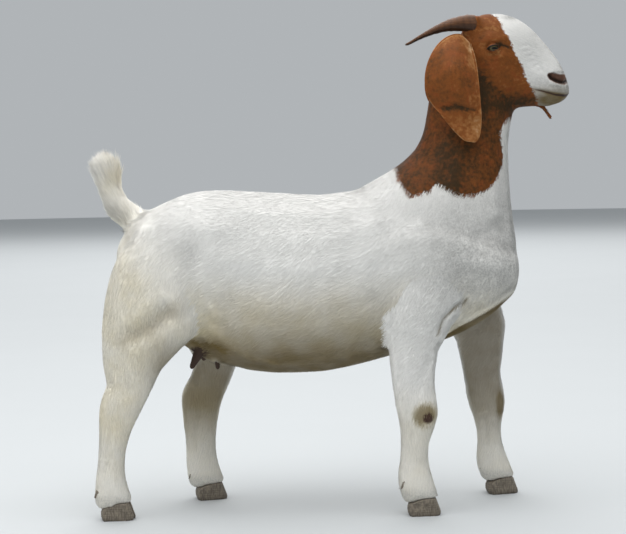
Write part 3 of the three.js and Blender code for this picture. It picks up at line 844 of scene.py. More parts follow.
def markings(at, normal, region):
    """Where the coat is chestnut, cream, grey or soiled, and where chestnut is darker or lighter; much of
    the soiling and darkening is painted shade, and some of the cream painted warm light.
    """
    x, y, z = at.T
    spots = at[:, [0, 2]]
    right, left = y < 0, y > 0
    trunk = region == "trunk"
    head = region == "head"
    tail = region == "tail"
    legs = np.isin(region, LEG_KINDS)

    def patches(*rows):
        """Soft patches added up, each as its strength, its middle, and its reach along x and z."""
        return sum(much * (bell((x - cx) / rx) * bell((z - cz) / rz)) for much, cx, cz, rx, rz in rows)

    def line(path, width):
        return bell(from_path(spots, path)[0] / width)

    chestnut = inside_edge(spots, CHESTNUT_EDGE)
    chestnut[region == "ear"] = 25
    chestnut[np.isin(region, ["trunk", "tail", "udder", "teat", "hindleg"]) & (x < 150)] = -25

    # rump and thigh, tail, low on the body where real staining is mixed with painted warm light from below,
    # udder, then hocks and knees
    cream = patches((0.5, -405, 490, 50, 120), (0.55, -340, 400, 90, 80))
    cream += tail * (0.1 + patches((0.55, -422, 704, 18, 26))) + 0.7 * trunk * step(530, 390, z)
    cream += 0.7 * (region == "udder")
    joints = patches((0.5, -430, 250, 50, 60), (0.45, -250, 230, 50, 60))
    cream += legs * (joints + 0.35 * step(300, 190, z))

    # forehead, bridge of the nose, shoulder, painted shade down the front of the neck, chest, painted shade
    # in the hollow before the hip, then muzzle and pasterns
    grey = patches(
        (0.8, 432, 1040, 13, 5), (0.25, 486, 985, 30, 26), (0.5, 310, 550, 70, 90),
        (0.4, 430, 600, 34, 120), (0.2, 385, 500, 60, 60), (0.3, -254, 558, 16, 20),
    )
    muzzle = patches(
        (0.3, 530, 895, 28, 10), (0.5, 540, 927, 18, 8), (0.3, 545, 888, 14, 20), (0.3, 520, 860, 26, 10),
    )
    grey += head * (muzzle + 0.2 * step(930, 900, z)) + legs * 0.45 * step(66, 44, z)

    # soiling mixed with painted shade, darker towards the belly and on the udder; painted shade beside the
    # udder, under the brisket, in the creases of arm and thigh and under the flank's fold; the far legs'
    # inner sides, real soiling with painted shade; a darker chin with painted shade along the mouth, darker
    # towards the jaw; and the real marks of both knees
    keel, _ = from_path(spots, BRISKET_EDGE)
    under_keel = step(1, 5, keel) * step(34, 26, keel) * below_path(spots, BRISKET_EDGE) * ~legs
    low_flank = 0.38 * step(530, 400, z) * step(250, 150, x) * step(-250, -180, x)
    inner = left * step(0.1, 0.8, -normal[:, 1]) * step(90, 230, z)
    callus_ring = step(32, 14, np.hypot(x - CALLUS[0] + 6, z - CALLUS[1] - 10)) * right * legs
    soil = trunk * step(330, 250, x) * (low_flank + 0.56 * step(430, 310, z))
    soil += 0.5 * (region == "udder") + under_keel
    soil += right * (0.8 * line(ARM_CREASE, 2.2) + 0.35 * line(THIGH_CREASE, 11))
    soil += right * patches((1, -240, 345, 30, 18)) + legs * right * patches((0.5, -315, 330, 26, 44))
    soil += legs * (0.75 * inner + left * patches((1, 408, 202, 5, 16)))
    soil += head * (patches((1, 516, 864, 32, 13)) + 0.4 * line(MOUTH, 3) + 0.15 * step(905, 885, z))
    soil += 0.85 * callus_ring
    # the painted shade under the brisket is also made olive with cream, and the callus ring yellowish
    cream += 0.8 * under_keel + callus_ring

    # painted shade under the jaw, behind the cheek under the ear and over the neck; darker by the front of
    # the eye and along the tear line, lighter over and under the eye
    tone = patches(
        (-0.9, 446, 864, 40, 12), (-0.4, 370, 925, 11, 65), (-0.35, 295, 722, 22, 50),
        (0.5, 369, 979, 7, 6), (0.45, 382, 960, 14, 4), (0.5, 399, 967, 6, 2),
    )
    tone += 0.45 * line([(362, 1009), (379, 1016), (397, 1013)], 2.6) - 0.5 * (region == "neck")
    tone -= head * (patches((1, 401, 980, 7, 3.2)) + 0.6 * line(TEAR_LINE, 1.8))
    ear = region == "ear"
    # the ear: lighter along its front and below its fold, painted shade in the fold across it, the buff rim,
    # and a darker patch
    ear_tone = 0.26 * step(316, 345, x) + 0.25 * step(845, 830, z) - 0.85 * line(EAR_CREASE, 3.6) - 0.14
    ear_tone += 0.9 * step(0.8, 0.4, np.abs(normal[:, 1])) - patches((0.4, 329, 901, 9, 11))
    tone[ear] = ear_tone[ear]
    return {
        "chestnut": chestnut * MM,
        "cream": np.clip(cream, 0, 1),
        "grey": np.clip(grey, 0, 1),
        "soil": np.clip(soil, 0, 1),
        "tone": np.clip(tone, -1, 1),
    }


def bare_places(at, normal, region):
    """Where the skin is bare, dark or udder skin, and how much hair grows."""
    x, y, z = at.T
    spots = at[:, [0, 2]]
    head = region == "head"
    aside = step(0.15, 0.5, np.abs(normal[:, 1]))
    by_eye = head & (np.abs(y) > EYE.y - 5)
    slit, _ = from_path(spots, NOSTRIL_SLIT)
    mouth, along_mouth = from_path(spots, MOUTH)
    tear, _ = from_path(spots, TEAR_LINE)
    wing, _ = from_path(spots, NOSTRIL_WING)
    brow, _ = from_path(spots, NOSTRIL_TOP)
    outside, local, _ = lid_edge(spots)
    # the lids' dark rim is wider along the upper lid: dark lid skin and lashes, with painted shade under
    # that lid
    lid = 1.3 + 0.8 * step(-1, 3, local[:, 1])
    pocket = step(10, 5, wing) * aside * head
    across = np.abs(y)
    bridge = np.maximum(step(15, 11, across) * step(874, 884, z), step(16, 12, across) * step(902, 908, z))
    pad = step(537, 545, x) * bridge * step(926, 918, z) * head
    lips = step(1.4 + 2.4 * along_mouth, 0.4 + 1.1 * along_mouth, mouth) * head
    dark = np.max([
        step(lid + 1.2, lid, np.abs(outside - 0.3)) * by_eye,
        # painted shade in the nostril's opening over its dark skin, then painted shade along the upper edge
        # of the fold over it
        0.9 * step(5.5, 1.5, slit) * aside * head,
        0.6 * step(3.6, 1.0, brow) * aside * head,
        0.85 * lips,
        0.9 * step(3.0, 1.2, tear) * by_eye,
        0.3 * pocket,
    ], axis=0)
    near_foreleg = (region == "foreleg") & (y < 0)
    callus = step(13.5, 9.5, np.hypot(x - CALLUS[0], z - CALLUS[1])) * near_foreleg * aside
    bare = np.clip(pad + pocket + lips + callus + step(6.2, 4.5, slit) * aside * head, 0, 1)
    dark = np.maximum(dark, 0.72 * callus)
    bag = step(1.4, 0.8, np.hypot((x + 246) / 22, (z - 340) / 13)) * (region != "hindleg") * (y < 0)
    udder = np.maximum(region == "teat", bag)
    in_socket = by_eye & (outside < 1.0)
    hair = np.where(in_socket, 0.0, (1 - np.clip(bare * 1.3, 0, 1)) * (1 - 0.85 * udder))
    hair *= np.where(by_eye, step(1.0, 3.0, outside), 1)
    hair *= np.where(region == "ear", step(0.35, 0.7, np.abs(normal[:, 1])), 1)
    hair[outside_horns(at) < 0.4] = 0
    return {"bare": bare, "dark": dark, "udder": udder, "hair": hair}


# ---------------------------------------------------------------- coat
# Roots with less hair than this are left out, as a share of full hair.
LEAST_HAIR = 0.02
# Where an edge is looked for beside a root, in millimetres, and the turn that makes one, as the
# cosine between the surface's directions.
EDGE_PROBES = (-1.8, -0.9, 0.0, 0.9, 1.8)
EDGE_BEND = 0.94
# How wide and how long the ridges of combed hair are, in millimetres.
RIDGE = 3.0
RIDGE_LENGTH = 15
# The line that each kind of piece is unwrapped along, and the slices its middle line is found in.
UNWRAP_LINES = {
    "trunk": (1, 0, 0), "neck": (0.36, 0, 0.93), "head": (0.8, 0, -0.6), "tail": (-0.45, 0, 0.9),
    "udder": (1, 0, 0), "foreleg": (0, 0, 1), "hindleg": (0, 0, 1), "ear": (0, 0, 1),
}
UNWRAP_SLICES = 16


def grow_roots(mesh, values, cover, chance):
    """Roots spread evenly over the faces, as rows of the named values between the corners."""
    mesh.calc_loop_triangles()
    corners = read(mesh.loop_triangles, "vertices", 3, np.int32)
    points = values["point"]
    a, b, c = (points[corners[:, i]] for i in range(3))
    area = np.linalg.norm(np.cross(b - a, c - a), axis=1) / 2
    wanted = np.cumsum(area * cover[corners].mean(axis=1))
    total = int(wanted[-1])
    picks = np.searchsorted(wanted, (np.arange(total) + chance.random(total)) * wanted[-1] / total)
    picks = np.minimum(picks, len(corners) - 1)
    share = chance.random((total, 2))
    flip = share.sum(axis=1) > 1
    share[flip] = 1 - share[flip]
    weights = np.stack([1 - share.sum(axis=1), share[:, 0], share[:, 1]], axis=1)
    roots = {}
    for name, rows in values.items():
        at_corners = rows[corners[picks]]
        shape = (total, 3) + (1,) * (at_corners.ndim - 2)
        roots[name] = (at_corners * weights.reshape(shape)).sum(axis=1)
    roots["node"] = values["node"][corners[picks, np.argmax(weights, axis=1)]]
    return roots


def on_surface(surface, points):
    """The nearest places on the skin, and its normals there."""
    near = [surface.find_nearest(Vector(p))[:2] for p in points.tolist()]
    return np.array([spot for spot, _ in near]), np.array([normal for _, normal in near])


def on_an_edge(surface, roots, aside):
    """Whether the body bends away sharply at or beside each root, where a flat tuft would stand off."""
    bent = np.zeros(len(aside), bool)
    for shift in EDGE_PROBES:
        _, out = on_surface(surface, roots["point"] + aside * shift * MM)
        bent |= np.sum(out * roots["normal"], axis=1) < EDGE_BEND
    return bent


def lattice_noise(points, lattice):
    """Smooth noise between random lattice values, one cell to a unit of the points."""
    base = np.floor(points)
    share = points - base
    share = share * share * (3 - 2 * share)
    base = base.astype(int)
    total = np.zeros(len(points))
    for corner in itertools.product((0, 1), repeat=3):
        weight = np.prod(np.where(corner, share, 1 - share), axis=1)
        i, j, k = ((base + corner) % len(lattice)).T
        total += weight * lattice[i, j, k]
    return total


def combed(points, way, cell, reach, chance):
    """Noise drawn out along the lie of the hair, as the ridges of combed hair are, with unit spread."""
    lattice = chance.normal(size=(48, 48, 48))
    total = np.zeros(len(points))
    for shift in np.linspace(-reach, reach, 9):
        total += lattice_noise((points + way * shift) / cell, lattice)
    return total / total.std()


def unwrapped(points, way):
    """Places on an unwrap of a long shape: round its middle line, and along it."""
    along = points @ way
    low, high = along.min(), along.max()
    slices = np.clip(((along - low) / (high - low) * UNWRAP_SLICES).astype(int), 0, UNWRAP_SLICES - 1)
    groups = [np.flatnonzero(slices == number) for number in np.unique(slices)]
    centres = np.array([(points[group].max(axis=0) + points[group].min(axis=0)) / 2 for group in groups])
    heights = np.array([along[group].mean() for group in groups])
    middle = np.stack([np.interp(along, heights, centres[:, k]) for k in range(3)], axis=1)
    first = unit(np.cross(way, [0.3, 1, 0.2]))
    second = np.cross(way, first)
    spoke = points - middle
    angle = np.arctan2(spoke @ second, spoke @ first) / (2 * math.pi) + 0.5
    span = 1 - UNWRAP_PATCH
    return np.stack([angle * span, (along - low) / (high - low) * span], axis=1)


# A tuft's corners, each as (share of the way from root to tip, half-widths aside, rise in widths),
# and its faces. The short tuft is a flat sliver with a low ridge, the long one a three-sided spindle.
TUFT = [(0, 0, -0.1), (0.36, 1, -0.14), (0.36, -1, -0.14), (1, 0, 0)]
TUFT_FACES = [(0, 2, 3), (0, 3, 1), (0, 1, 2), (1, 3, 2)]
LOCK = [(0, 0, -0.5), (0.4, 1, -0.1), (0.4, -1, -0.1), (0.45, 0, 0.35), (1, 0, 0)]
LOCK_FACES = [(0, 2, 3), (0, 3, 1), (0, 1, 2), (4, 3, 2), (4, 1, 3), (4, 2, 1)]


def tuft_corners(pattern, roots, tips, width):
    """The corners of every tuft, as rows of points in metres."""
    way = unit(tips - roots["point"])
    aside = unit(np.cross(roots["normal"], way))
    out = np.cross(way, aside)
    rows = [
        roots["point"] * (1 - share) + tips * share
        + aside * (half * width / 2)[:, None] + out * (rise * width)[:, None]
        for share, half, rise in pattern
    ]
    return np.stack(rows, axis=1)


def joined_tufts(name, corners, normals, faces, places, colours):
    """One mesh of many closed tufts, shaded as the body under them, with their markings and unwrap."""
    count, sides = corners.shape[:2]
    mesh = bpy.data.meshes.new(name)
    mesh.vertices.add(count * sides)
    mesh.vertices.foreach_set("co", corners.astype(np.float32).ravel())
    loops = (np.arange(count)[:, None, None] * sides + np.array(faces)[None]).reshape(-1)
    mesh.loops.add(len(loops))
    mesh.loops.foreach_set("vertex_index", loops.astype(np.int32))
    mesh.polygons.add(len(loops) // 3)
    mesh.polygons.foreach_set("loop_start", np.arange(0, len(loops), 3, dtype=np.int32))
    mesh.update(calc_edges=True)
    for key, values in colours.items():
        write_values(mesh, key, np.repeat(values, sides))
    along = np.tile([share for share, _, _ in (TUFT if sides == 4 else LOCK)], count)
    write_values(mesh, "along", along)
    patch = np.array([(0, 0), (0, 1), (1, 0), (1, 1), (0.5, 1)][:sides]) * UNWRAP_PATCH
    spots = (places[:, None] + patch[None]).reshape(-1, 2)
    layer = mesh.uv_layers.new(name="OFBake")
    layer.data.foreach_set("uv", spots[loops].astype(np.float32).ravel())
    mesh.normals_split_custom_set_from_vertices(np.repeat(normals, sides, axis=0).tolist())
    return new_object(name, mesh)


def hair_sizes(mesh, owner, nodes, look):
    """The hair's length, width and lift in metres and its share of full hair, at each point of the skin,
    how near the point is to a horn's foot, and how thickly the tufts stand."""
    at = drawing(points_of(mesh))
    region = np.array([kind_of(node) for node in nodes])[owner]
    x, _, z = at.T
    fields = ("length", "width", "lift", "layers")
    length, width, lift, layers = (coat_values(nodes, field)[owner] for field in fields)
    leg = np.isin(region, LEG_KINDS)
    relax = relaxer(mesh)
    hair = read_values(mesh, "hair")
    face = (1 - 0.35 * step(440, 520, x)) * (0.35 + 0.65 * relax(hair, 10) ** 2)
    small = np.where(region == "head", face, 1.0) * np.where(leg, 1 - 0.4 * step(130, 60, z), 1)
    thigh = leg * step(340, 480, z)
    plume = (region == "tail") * step(690, 745, z)
    tail_end = plume * step(0.35, 0.85, normals_of(mesh) @ unit(np.array(UNWRAP_LINES["tail"])))
    poll = step(16, 4, outside_horns(at)) * step(320, 336, x)
    plus = thigh * np.where(region == "hindleg", 7, 3) + plume * 6 - tail_end * 16
    length = (relax(length * small + plus, 8) + 4 * poll) * MM * look.coat_length
    width = relax(width * np.sqrt(small) + thigh * 0.15, 8) * MM
    lift = (relax(lift * small + thigh * 0.3 + plume * 7 - tail_end * 6, 8) + 1.2 * poll) * MM
    tuft_area = 0.5 * np.maximum(length, lift) * width
    cover = look.coat_layers * relax(layers, 4) / np.maximum(tuft_area, 1e-7)
    return {"length": length, "width": width, "lift": lift, "hair": hair, "poll": poll}, cover


def coat_roots(skin, look, nodes, chance):
    """Where every tuft grows, with its normal, lie, length, width and lift."""
    mesh = skin.data
    owner = read_values(mesh, "node").round().astype(int)
    sizes, cover = hair_sizes(mesh, owner, nodes, look)
    values = {
        "point": points_of(mesh), "normal": normals_of(mesh), "flow": read_values(mesh, "flow"),
        "node": owner.astype(float), **sizes,
    }
    roots = grow_roots(mesh, values, cover * (sizes["hair"] > LEAST_HAIR), chance)
    haired = (coat_values(nodes, "layers") > 0)[roots["node"].astype(int)]
    keep = (chance.random(len(roots["hair"])) < roots["hair"]) & haired
    roots = {name: rows[keep] for name, rows in roots.items()}
    roots["normal"] = unit(roots["normal"])
    roots["flow"] = along_surface(roots["flow"], roots["normal"])
    return roots


def comb(roots, region, surface, chance):
    """Lays the tufts over the skin, together in ridges along the lie of the hair that tip a little to
    each side: adds each tuft's tip, normal and shade, and drops those that an ear's rim would hold off."""
    own = chance.normal(size=(len(region), 3))
    aside = np.cross(roots["normal"], roots["flow"])
    spot, way = roots["point"] / MM, roots["flow"]
    beside = [
        combed(spot + aside * RIDGE * shift, way, RIDGE / 2, RIDGE_LENGTH / 2, np.random.default_rng(3))
        for shift in (-0.75, -0.25, 0.25, 0.75)
    ]
    slope = beside[2] - beside[1]
    ridge = (beside[1] + beside[2] - beside[0] - beside[3]) / 2
    wander = combed(spot, way, RIDGE, RIDGE_LENGTH / 2, np.random.default_rng(5))
    low = step(700, 420, drawing(roots["point"])[:, 2])
    kinds = [region == "trunk", np.isin(region, LEG_KINDS), region == "neck", region == "tail"]
    wavy = np.select(kinds, [0.15 + 1.05 * low, 0.5 + 0.7 * low, 0.5, 1.2], 0.6)
    swing = (0.07 * wander + 0.07 * own[:, 0]) * wavy
    way = unit(way + aside * swing[:, None])
    length = roots["length"] * np.clip(1 + 0.15 * own[:, 1], 0.6, 1.5)
    lift = roots["lift"] * np.clip(1 + wavy * (0.3 * ridge + 0.15 * own[:, 2]), 0.4, 2.2)

    flat_tips = roots["point"] + way * length[:, None]
    tips, out = on_surface(surface, flat_tips)
    turned = np.sum(out * roots["normal"], axis=1) < np.where(region == "ear", 0.9, 0.3)
    rim = (region == "ear") & (turned | on_an_edge(surface, roots, aside))
    free = (region == "tail") | (roots["poll"] > 0.2) | turned
    tips[free] = flat_tips[free]
    out[free] = roots["normal"][free]
    tilt = -0.13 * wavy * slope
    roots["tip"] = tips + out * lift[:, None]
    roots["facing"] = unit(roots["normal"] + out * 0.6 + aside * tilt[:, None])
    # painted light and shade along the combed ridges, stronger low on the body, with a little random tone
    # for each tuft
    roots["shade"] = np.clip(0.5 + 0.13 * wavy * ridge + 0.10 * own[:, 2], 0, 1)
    return {name: rows[~rim] for name, rows in roots.items()}


def build_coat(skin, look):
    """The hair of the whole animal, as joined tufts in a few pieces."""
    chance = np.random.default_rng(26)
    nodes = FLESH + EARS
    kinds = np.array([kind_of(node) for node in nodes])
    roots = coat_roots(skin, look, nodes, chance)
    roots = comb(roots, kinds[roots["node"].round().astype(int)], surface_of(skin.data), chance)
    owner = roots["node"].round().astype(int)
    made = []
    for index, (node, kind) in enumerate(zip(nodes, kinds)):
        mine = np.flatnonzero(owner == index)
        if not len(mine):
            continue
        pieces = math.ceil(len(mine) / TUFTS_IN_A_PIECE)
        pattern, faces = (LOCK, LOCK_FACES) if kind == "tail" else (TUFT, TUFT_FACES)
        mine = mine[np.argsort(roots["point"][mine, 0], kind="stable")]
        for number, part in enumerate(np.array_split(mine, pieces), 1):
            some = {name: rows[part] for name, rows in roots.items()}
            corners = tuft_corners(pattern, some, some["tip"], some["width"])
            colours = markings(drawing(some["point"]), some["normal"], np.full(len(part), kind))
            colours["shade"] = some["shade"]
            name = f"coat_{node}" if pieces == 1 else f"coat_{node}_{number}"
            places = unwrapped(some["point"], unit(np.array(UNWRAP_LINES[kind], float)))
            made.append(joined_tufts(name, corners, some["facing"], faces, places, colours))
    return made


# The beard's locks: their number, length and width, and the beard's radius at its top and its end.
BEARD_LOCKS = 1200
BEARD_LOCK_LENGTH = 10
BEARD_LOCK_WIDTH = 1.3
BEARD_RADIUS = [5.6, 4.6]


def build_beard():
    """A thin beard: locks that start along the jaw, overlap round a middle line and curl down with it."""
    chance = np.random.default_rng(61)
    path = np.array(BEARD_LINE, float)
    starts = np.concatenate([[0], np.cumsum(np.linalg.norm(np.diff(path, axis=0), axis=1))])
    reach = starts[-1] * chance.random(BEARD_LOCKS)
    spoke = unit(chance.normal(size=(BEARD_LOCKS, 3)) * np.array([0.4, 1, 0.8]))
    spread = spoke * np.sqrt(chance.random(BEARD_LOCKS))[:, None]
    blank = np.zeros(BEARD_LOCKS)

    def beside(distance, share):
        """Points round the middle line, closer in as the beard thins."""
        radius = np.interp(distance, [0, starts[-1]], BEARD_RADIUS) * share
        x, z = (np.interp(distance, starts, path[:, k]) for k in (0, 1))
        return np.stack([x, blank, z], axis=1) + spread * radius[:, None]

    length = BEARD_LOCK_LENGTH * chance.uniform(0.7, 1.2, BEARD_LOCKS)
    ahead = np.minimum(reach + length, starts[-1])
    tips = beside(ahead, 0.8) + np.outer(reach + length - ahead, [0.2, 0, -0.35])
    roots = {"point": metres(beside(reach, 1.0)), "normal": spoke}
    corners = tuft_corners(LOCK, roots, metres(tips), np.full(BEARD_LOCKS, BEARD_LOCK_WIDTH * MM))
    colours = {"chestnut": blank + 25 * MM, "cream": blank, "grey": blank, "soil": blank}
    colours["tone"] = -0.8 + 0.65 * reach / starts[-1] + 0.12 * chance.normal(size=BEARD_LOCKS)
    colours["shade"] = chance.random(BEARD_LOCKS)
    places = unwrapped(roots["point"], unit(np.array([0.6, 0, -0.8])))
    return joined_tufts("beard_hair", corners, spoke, LOCK_FACES, places, colours)


# ---------------------------------------------------------------- materials
# Settings that several nodes share: a mix of colours, and a value carried smoothly to another range.
COLOURS = {"data_type": "RGBA", "output": 2}
SMOOTH = {"interpolation_type": "SMOOTHSTEP"}
# How far the chestnut's edge wanders in all, and how soft it is, in metres.
EDGE_WANDER = 0.012
EDGE_SOFTNESS = 0.0012


def add(tree, kind, inputs, output=0, **settings):
    """Adds a node with its settings, and its inputs linked or set, and gives back one of its outputs."""
    node = tree.nodes.new(kind)
    for name, value in settings.items():
        setattr(node, name, value)
    for name, value in inputs.items():
        if isinstance(value, bpy.types.NodeSocket):
            tree.links.new(value, node.inputs[name])
        elif node.inputs[name].type == "RGBA":
            node.inputs[name].default_value = (*value, 1.0)
        else:
            node.inputs[name].default_value = value
    return node.outputs[output]


def start_material(name):
    """An empty material, with its node tree and its object coordinates."""
    material = bpy.data.materials.new(name)
    material.use_nodes = True
    tree = material.node_tree
    tree.nodes.clear()
    return material, tree, add(tree, "ShaderNodeTexCoord", {}, "Object")


def end_material(material, inputs):
    """Gives a material its surface."""
    tree = material.node_tree
    surface = add(tree, "ShaderNodeBsdfPrincipled", inputs)
    tree.links.new(surface, tree.nodes.new("ShaderNodeOutputMaterial").inputs["Surface"])
    return material


def hair_colour(tree, where, look):
    """The markings of the coat, the same on skin and hair."""
    broad, middling, fine, specks = (
        add(tree, "ShaderNodeTexNoise", {"Vector": where, "Scale": 1 / (size * MM), "Detail": detail})
        for size, detail in ((60, 3), (20, 3), (7, 3), (3.5, 1))
    )
    mottled = add(tree, "ShaderNodeMath", {0: middling, 1: 0.35}, operation="MULTIPLY")
    mottled = add(tree, "ShaderNodeMath", {0: specks, 1: 0.65, 2: mottled}, operation="MULTIPLY_ADD")

    white = look.white
    # cream, grey and soiling over the white, where markings() also lays painted shade and warm light
    for marking, noise, low, high, least, most, colour in (
        ("cream", broad, 0.3, 0.7, 0.6, 1.0, look.cream),
        ("grey", mottled, 0.36, 0.64, 0.6, 1.25, look.grey),
        ("soil", broad, 0.3, 0.7, 0.88, 1.0, look.soil),
    ):
        uneven = add(tree, "ShaderNodeMapRange", {0: noise, 1: low, 2: high, 3: least, 4: most}, **SMOOTH)
        amount = add(tree, "ShaderNodeAttribute", {}, "Fac", attribute_name=marking)
        share = add(tree, "ShaderNodeMath", {0: amount, 1: uneven}, operation="MULTIPLY")
        white = add(tree, "ShaderNodeMix", {0: share, 6: white, 7: colour}, **COLOURS)

    tone = add(tree, "ShaderNodeAttribute", {}, "Fac", attribute_name="tone")
    for noise, strength in ((broad, 0.7), (middling, 0.9), (fine, 1.3)):
        tone = add(tree, "ShaderNodeMath", {0: tone, 1: strength / 2}, operation="SUBTRACT")
        tone = add(tree, "ShaderNodeMath", {0: noise, 1: strength, 2: tone}, operation="MULTIPLY_ADD")
    # umber where tone is low, mostly painted shade under the jaw, behind the cheek and over the neck; tan
    # and buff where it is high
    brown = look.chestnut
    for value, low, high, most, colour in (
        (middling, 0.45, 0.7, 0.35, look.rust), (tone, 0.0, -1.0, 1.0, look.umber),
        (tone, 0.0, 0.55, 1.0, look.tan), (tone, 0.5, 1.0, 1.0, look.buff),
    ):
        share = add(tree, "ShaderNodeMapRange", {0: value, 1: low, 2: high, 4: most}, **SMOOTH)
        brown = add(tree, "ShaderNodeMix", {0: share, 6: brown, 7: colour}, **COLOURS)

    edge = add(tree, "ShaderNodeAttribute", {}, "Fac", attribute_name="chestnut")
    edge = add(tree, "ShaderNodeMath", {0: fine, 1: EDGE_WANDER, 2: edge}, operation="MULTIPLY_ADD")
    low, high = EDGE_WANDER / 2 - EDGE_SOFTNESS, EDGE_WANDER / 2 + EDGE_SOFTNESS
    mask = add(tree, "ShaderNodeMapRange", {0: edge, 1: low, 2: high}, **SMOOTH)
    return add(tree, "ShaderNodeMix", {0: mask, 6: white, 7: brown}, **COLOURS)


def coat_material(look):
    """Short goat hair: dry and matt, faintly glossy along its lie, with painted shade towards the root and
    the painted light and shade of its combed ridges.
    """
    material, tree, where = start_material("Goat hair, short dry kemp")
    shade, along = (
        add(tree, "ShaderNodeAttribute", {}, "Fac", attribute_name=name) for name in ("shade", "along")
    )
    # painted shade towards each tuft's root, added to the painted light and shade of the ridges
    light = add(tree, "ShaderNodeMath", {0: along, 1: 0.35, 2: shade}, operation="MULTIPLY_ADD")
    value = add(tree, "ShaderNodeMapRange", {0: light, 1: 0.1, 2: 1.2, 3: 0.82, 4: 1.04}, **SMOOTH)
    colour = add(tree, "ShaderNodeHueSaturation", {"Color": hair_colour(tree, where, look), "Value": value})
    return end_material(material, {
        "Base Color": colour, "Roughness": 0.62, "Specular IOR Level": 0.2,
        "Sheen Weight": 0.06, "Sheen Roughness": 0.5,
    })


def skin_material(look):
    """Haired hide: the coat's own markings with fine grain, and bare leathery skin, slightly wet,
    where no hair grows."""
    material, tree, where = start_material("Goat hide, haired and bare")
    pores, blotches = (
        add(tree, "ShaderNodeTexNoise", {"Vector": where, "Scale": 1 / (size * MM), "Detail": detail})
        for size, detail in ((1.6, 4), (12, 3))
    )
    share = add(tree, "ShaderNodeMapRange", {0: blotches, 1: 0.3, 2: 0.7, 4: 0.45}, **SMOOTH)
    leather = add(tree, "ShaderNodeMix", {0: share, 6: look.bare, 7: look.dark}, **COLOURS)
    amounts = {
        name: add(tree, "ShaderNodeAttribute", {}, "Fac", attribute_name=name)
        for name in ("bare", "udder", "dark")
    }
    hair = hair_colour(tree, where, look)
    colour = add(tree, "ShaderNodeMix", {0: 0.06, 6: hair, 7: look.umber}, blend_type="MULTIPLY", **COLOURS)
    for name, over in (("bare", leather), ("udder", look.udder), ("dark", look.dark)):
        colour = add(tree, "ShaderNodeMix", {0: amounts[name], 6: colour, 7: over}, **COLOURS)
    wet = add(tree, "ShaderNodeMath", {0: amounts["bare"], 1: amounts["dark"]}, operation="MAXIMUM")
    gloss = add(tree, "ShaderNodeMapRange", {0: wet, 1: 0.2, 2: 0.9, 3: 0.7, 4: 0.42}, **SMOOTH)
    bump = add(tree, "ShaderNodeBump", {"Height": pores, "Strength": 0.35, "Distance": 0.8 * MM})
    return end_material(material, {
        "Base Color": colour, "Roughness": gloss, "Specular IOR Level": 0.25, "Normal": bump,
    })


def eye_material(look):
    """A living eye: grey green iris with a level slot pupil under a clear wet cornea."""
    material, tree, _ = start_material("Eye, amber iris under clear cornea")
    front = add(tree, "ShaderNodeUVMap", {}, uv_map="Iris")
    centred = add(tree, "ShaderNodeVectorMath", {0: front, 1: (0.5, 0.5, 0)}, operation="SUBTRACT")
    radius = add(tree, "ShaderNodeVectorMath", {0: centred}, "Value", operation="LENGTH")
    flattened = add(tree, "ShaderNodeVectorMath", {0: centred, 1: (0.55, 1.5, 0)}, operation="MULTIPLY")
    slot = add(tree, "ShaderNodeVectorMath", {0: flattened}, "Value", operation="LENGTH")
    streaks = add(tree, "ShaderNodeTexNoise", {
        "Vector": centred, "Scale": 1 / 0.035, "Detail": 5, "Distortion": 0.8,
    })
    # the iris's streaks and dark rim, the pupil, and the dark white of the eye
    colour = look.iris
    for value, low, high, over in (
        (streaks, 0.35, 0.65, linear("332811")), (radius, 0.26, 0.42, look.dark),
        (slot, 0.12, 0.10, linear("050505")), (radius, 0.42, 0.46, linear("33281F")),
    ):
        share = add(tree, "ShaderNodeMapRange", {0: value, 1: low, 2: high}, **SMOOTH)
        colour = add(tree, "ShaderNodeMix", {0: share, 6: colour, 7: over}, **COLOURS)
    return end_material(material, {
        "Base Color": colour, "Roughness": 0.2, "Specular IOR Level": 0.2, "IOR": 1.38,
        "Coat Weight": 0.35, "Coat Roughness": 0.03,
    })


def horn_material(look):
    """Keratin of a horn: dark brown with a dull shine, grained along, darker in its rings, with painted
    shade beneath.
    """
    material, tree, where = start_material("Horn keratin, weathered")
    stretched = add(tree, "ShaderNodeMapping", {
        "Vector": where, "Scale": (0.15, 1, 1), "Rotation": (0, -0.3, 0),
    })
    grain = add(tree, "ShaderNodeTexNoise", {
        "Vector": stretched, "Scale": 1 / (4 * MM), "Detail": 5, "Distortion": 0.4,
    })
    share = add(tree, "ShaderNodeMapRange", {0: grain, 1: 0.3, 2: 0.7, 3: 0.55, 4: 1.0}, **SMOOTH)
    colour = add(tree, "ShaderNodeMix", {0: share, 6: look.horn_dark, 7: look.horn}, **COLOURS)
    # darker in the growth rings, and painted shade on the underside
    for name in ("ring", "below"):
        amount = add(tree, "ShaderNodeAttribute", {}, "Fac", attribute_name=name)
        colour = add(tree, "ShaderNodeMix", {0: amount, 6: colour, 7: look.horn_dark}, **COLOURS)
    bump = add(tree, "ShaderNodeBump", {"Height": grain, "Strength": 0.5, "Distance": 0.8 * MM})
    return end_material(material, {
        "Base Color": colour, "Roughness": 0.42, "Specular IOR Level": 0.28, "Normal": bump,
    })


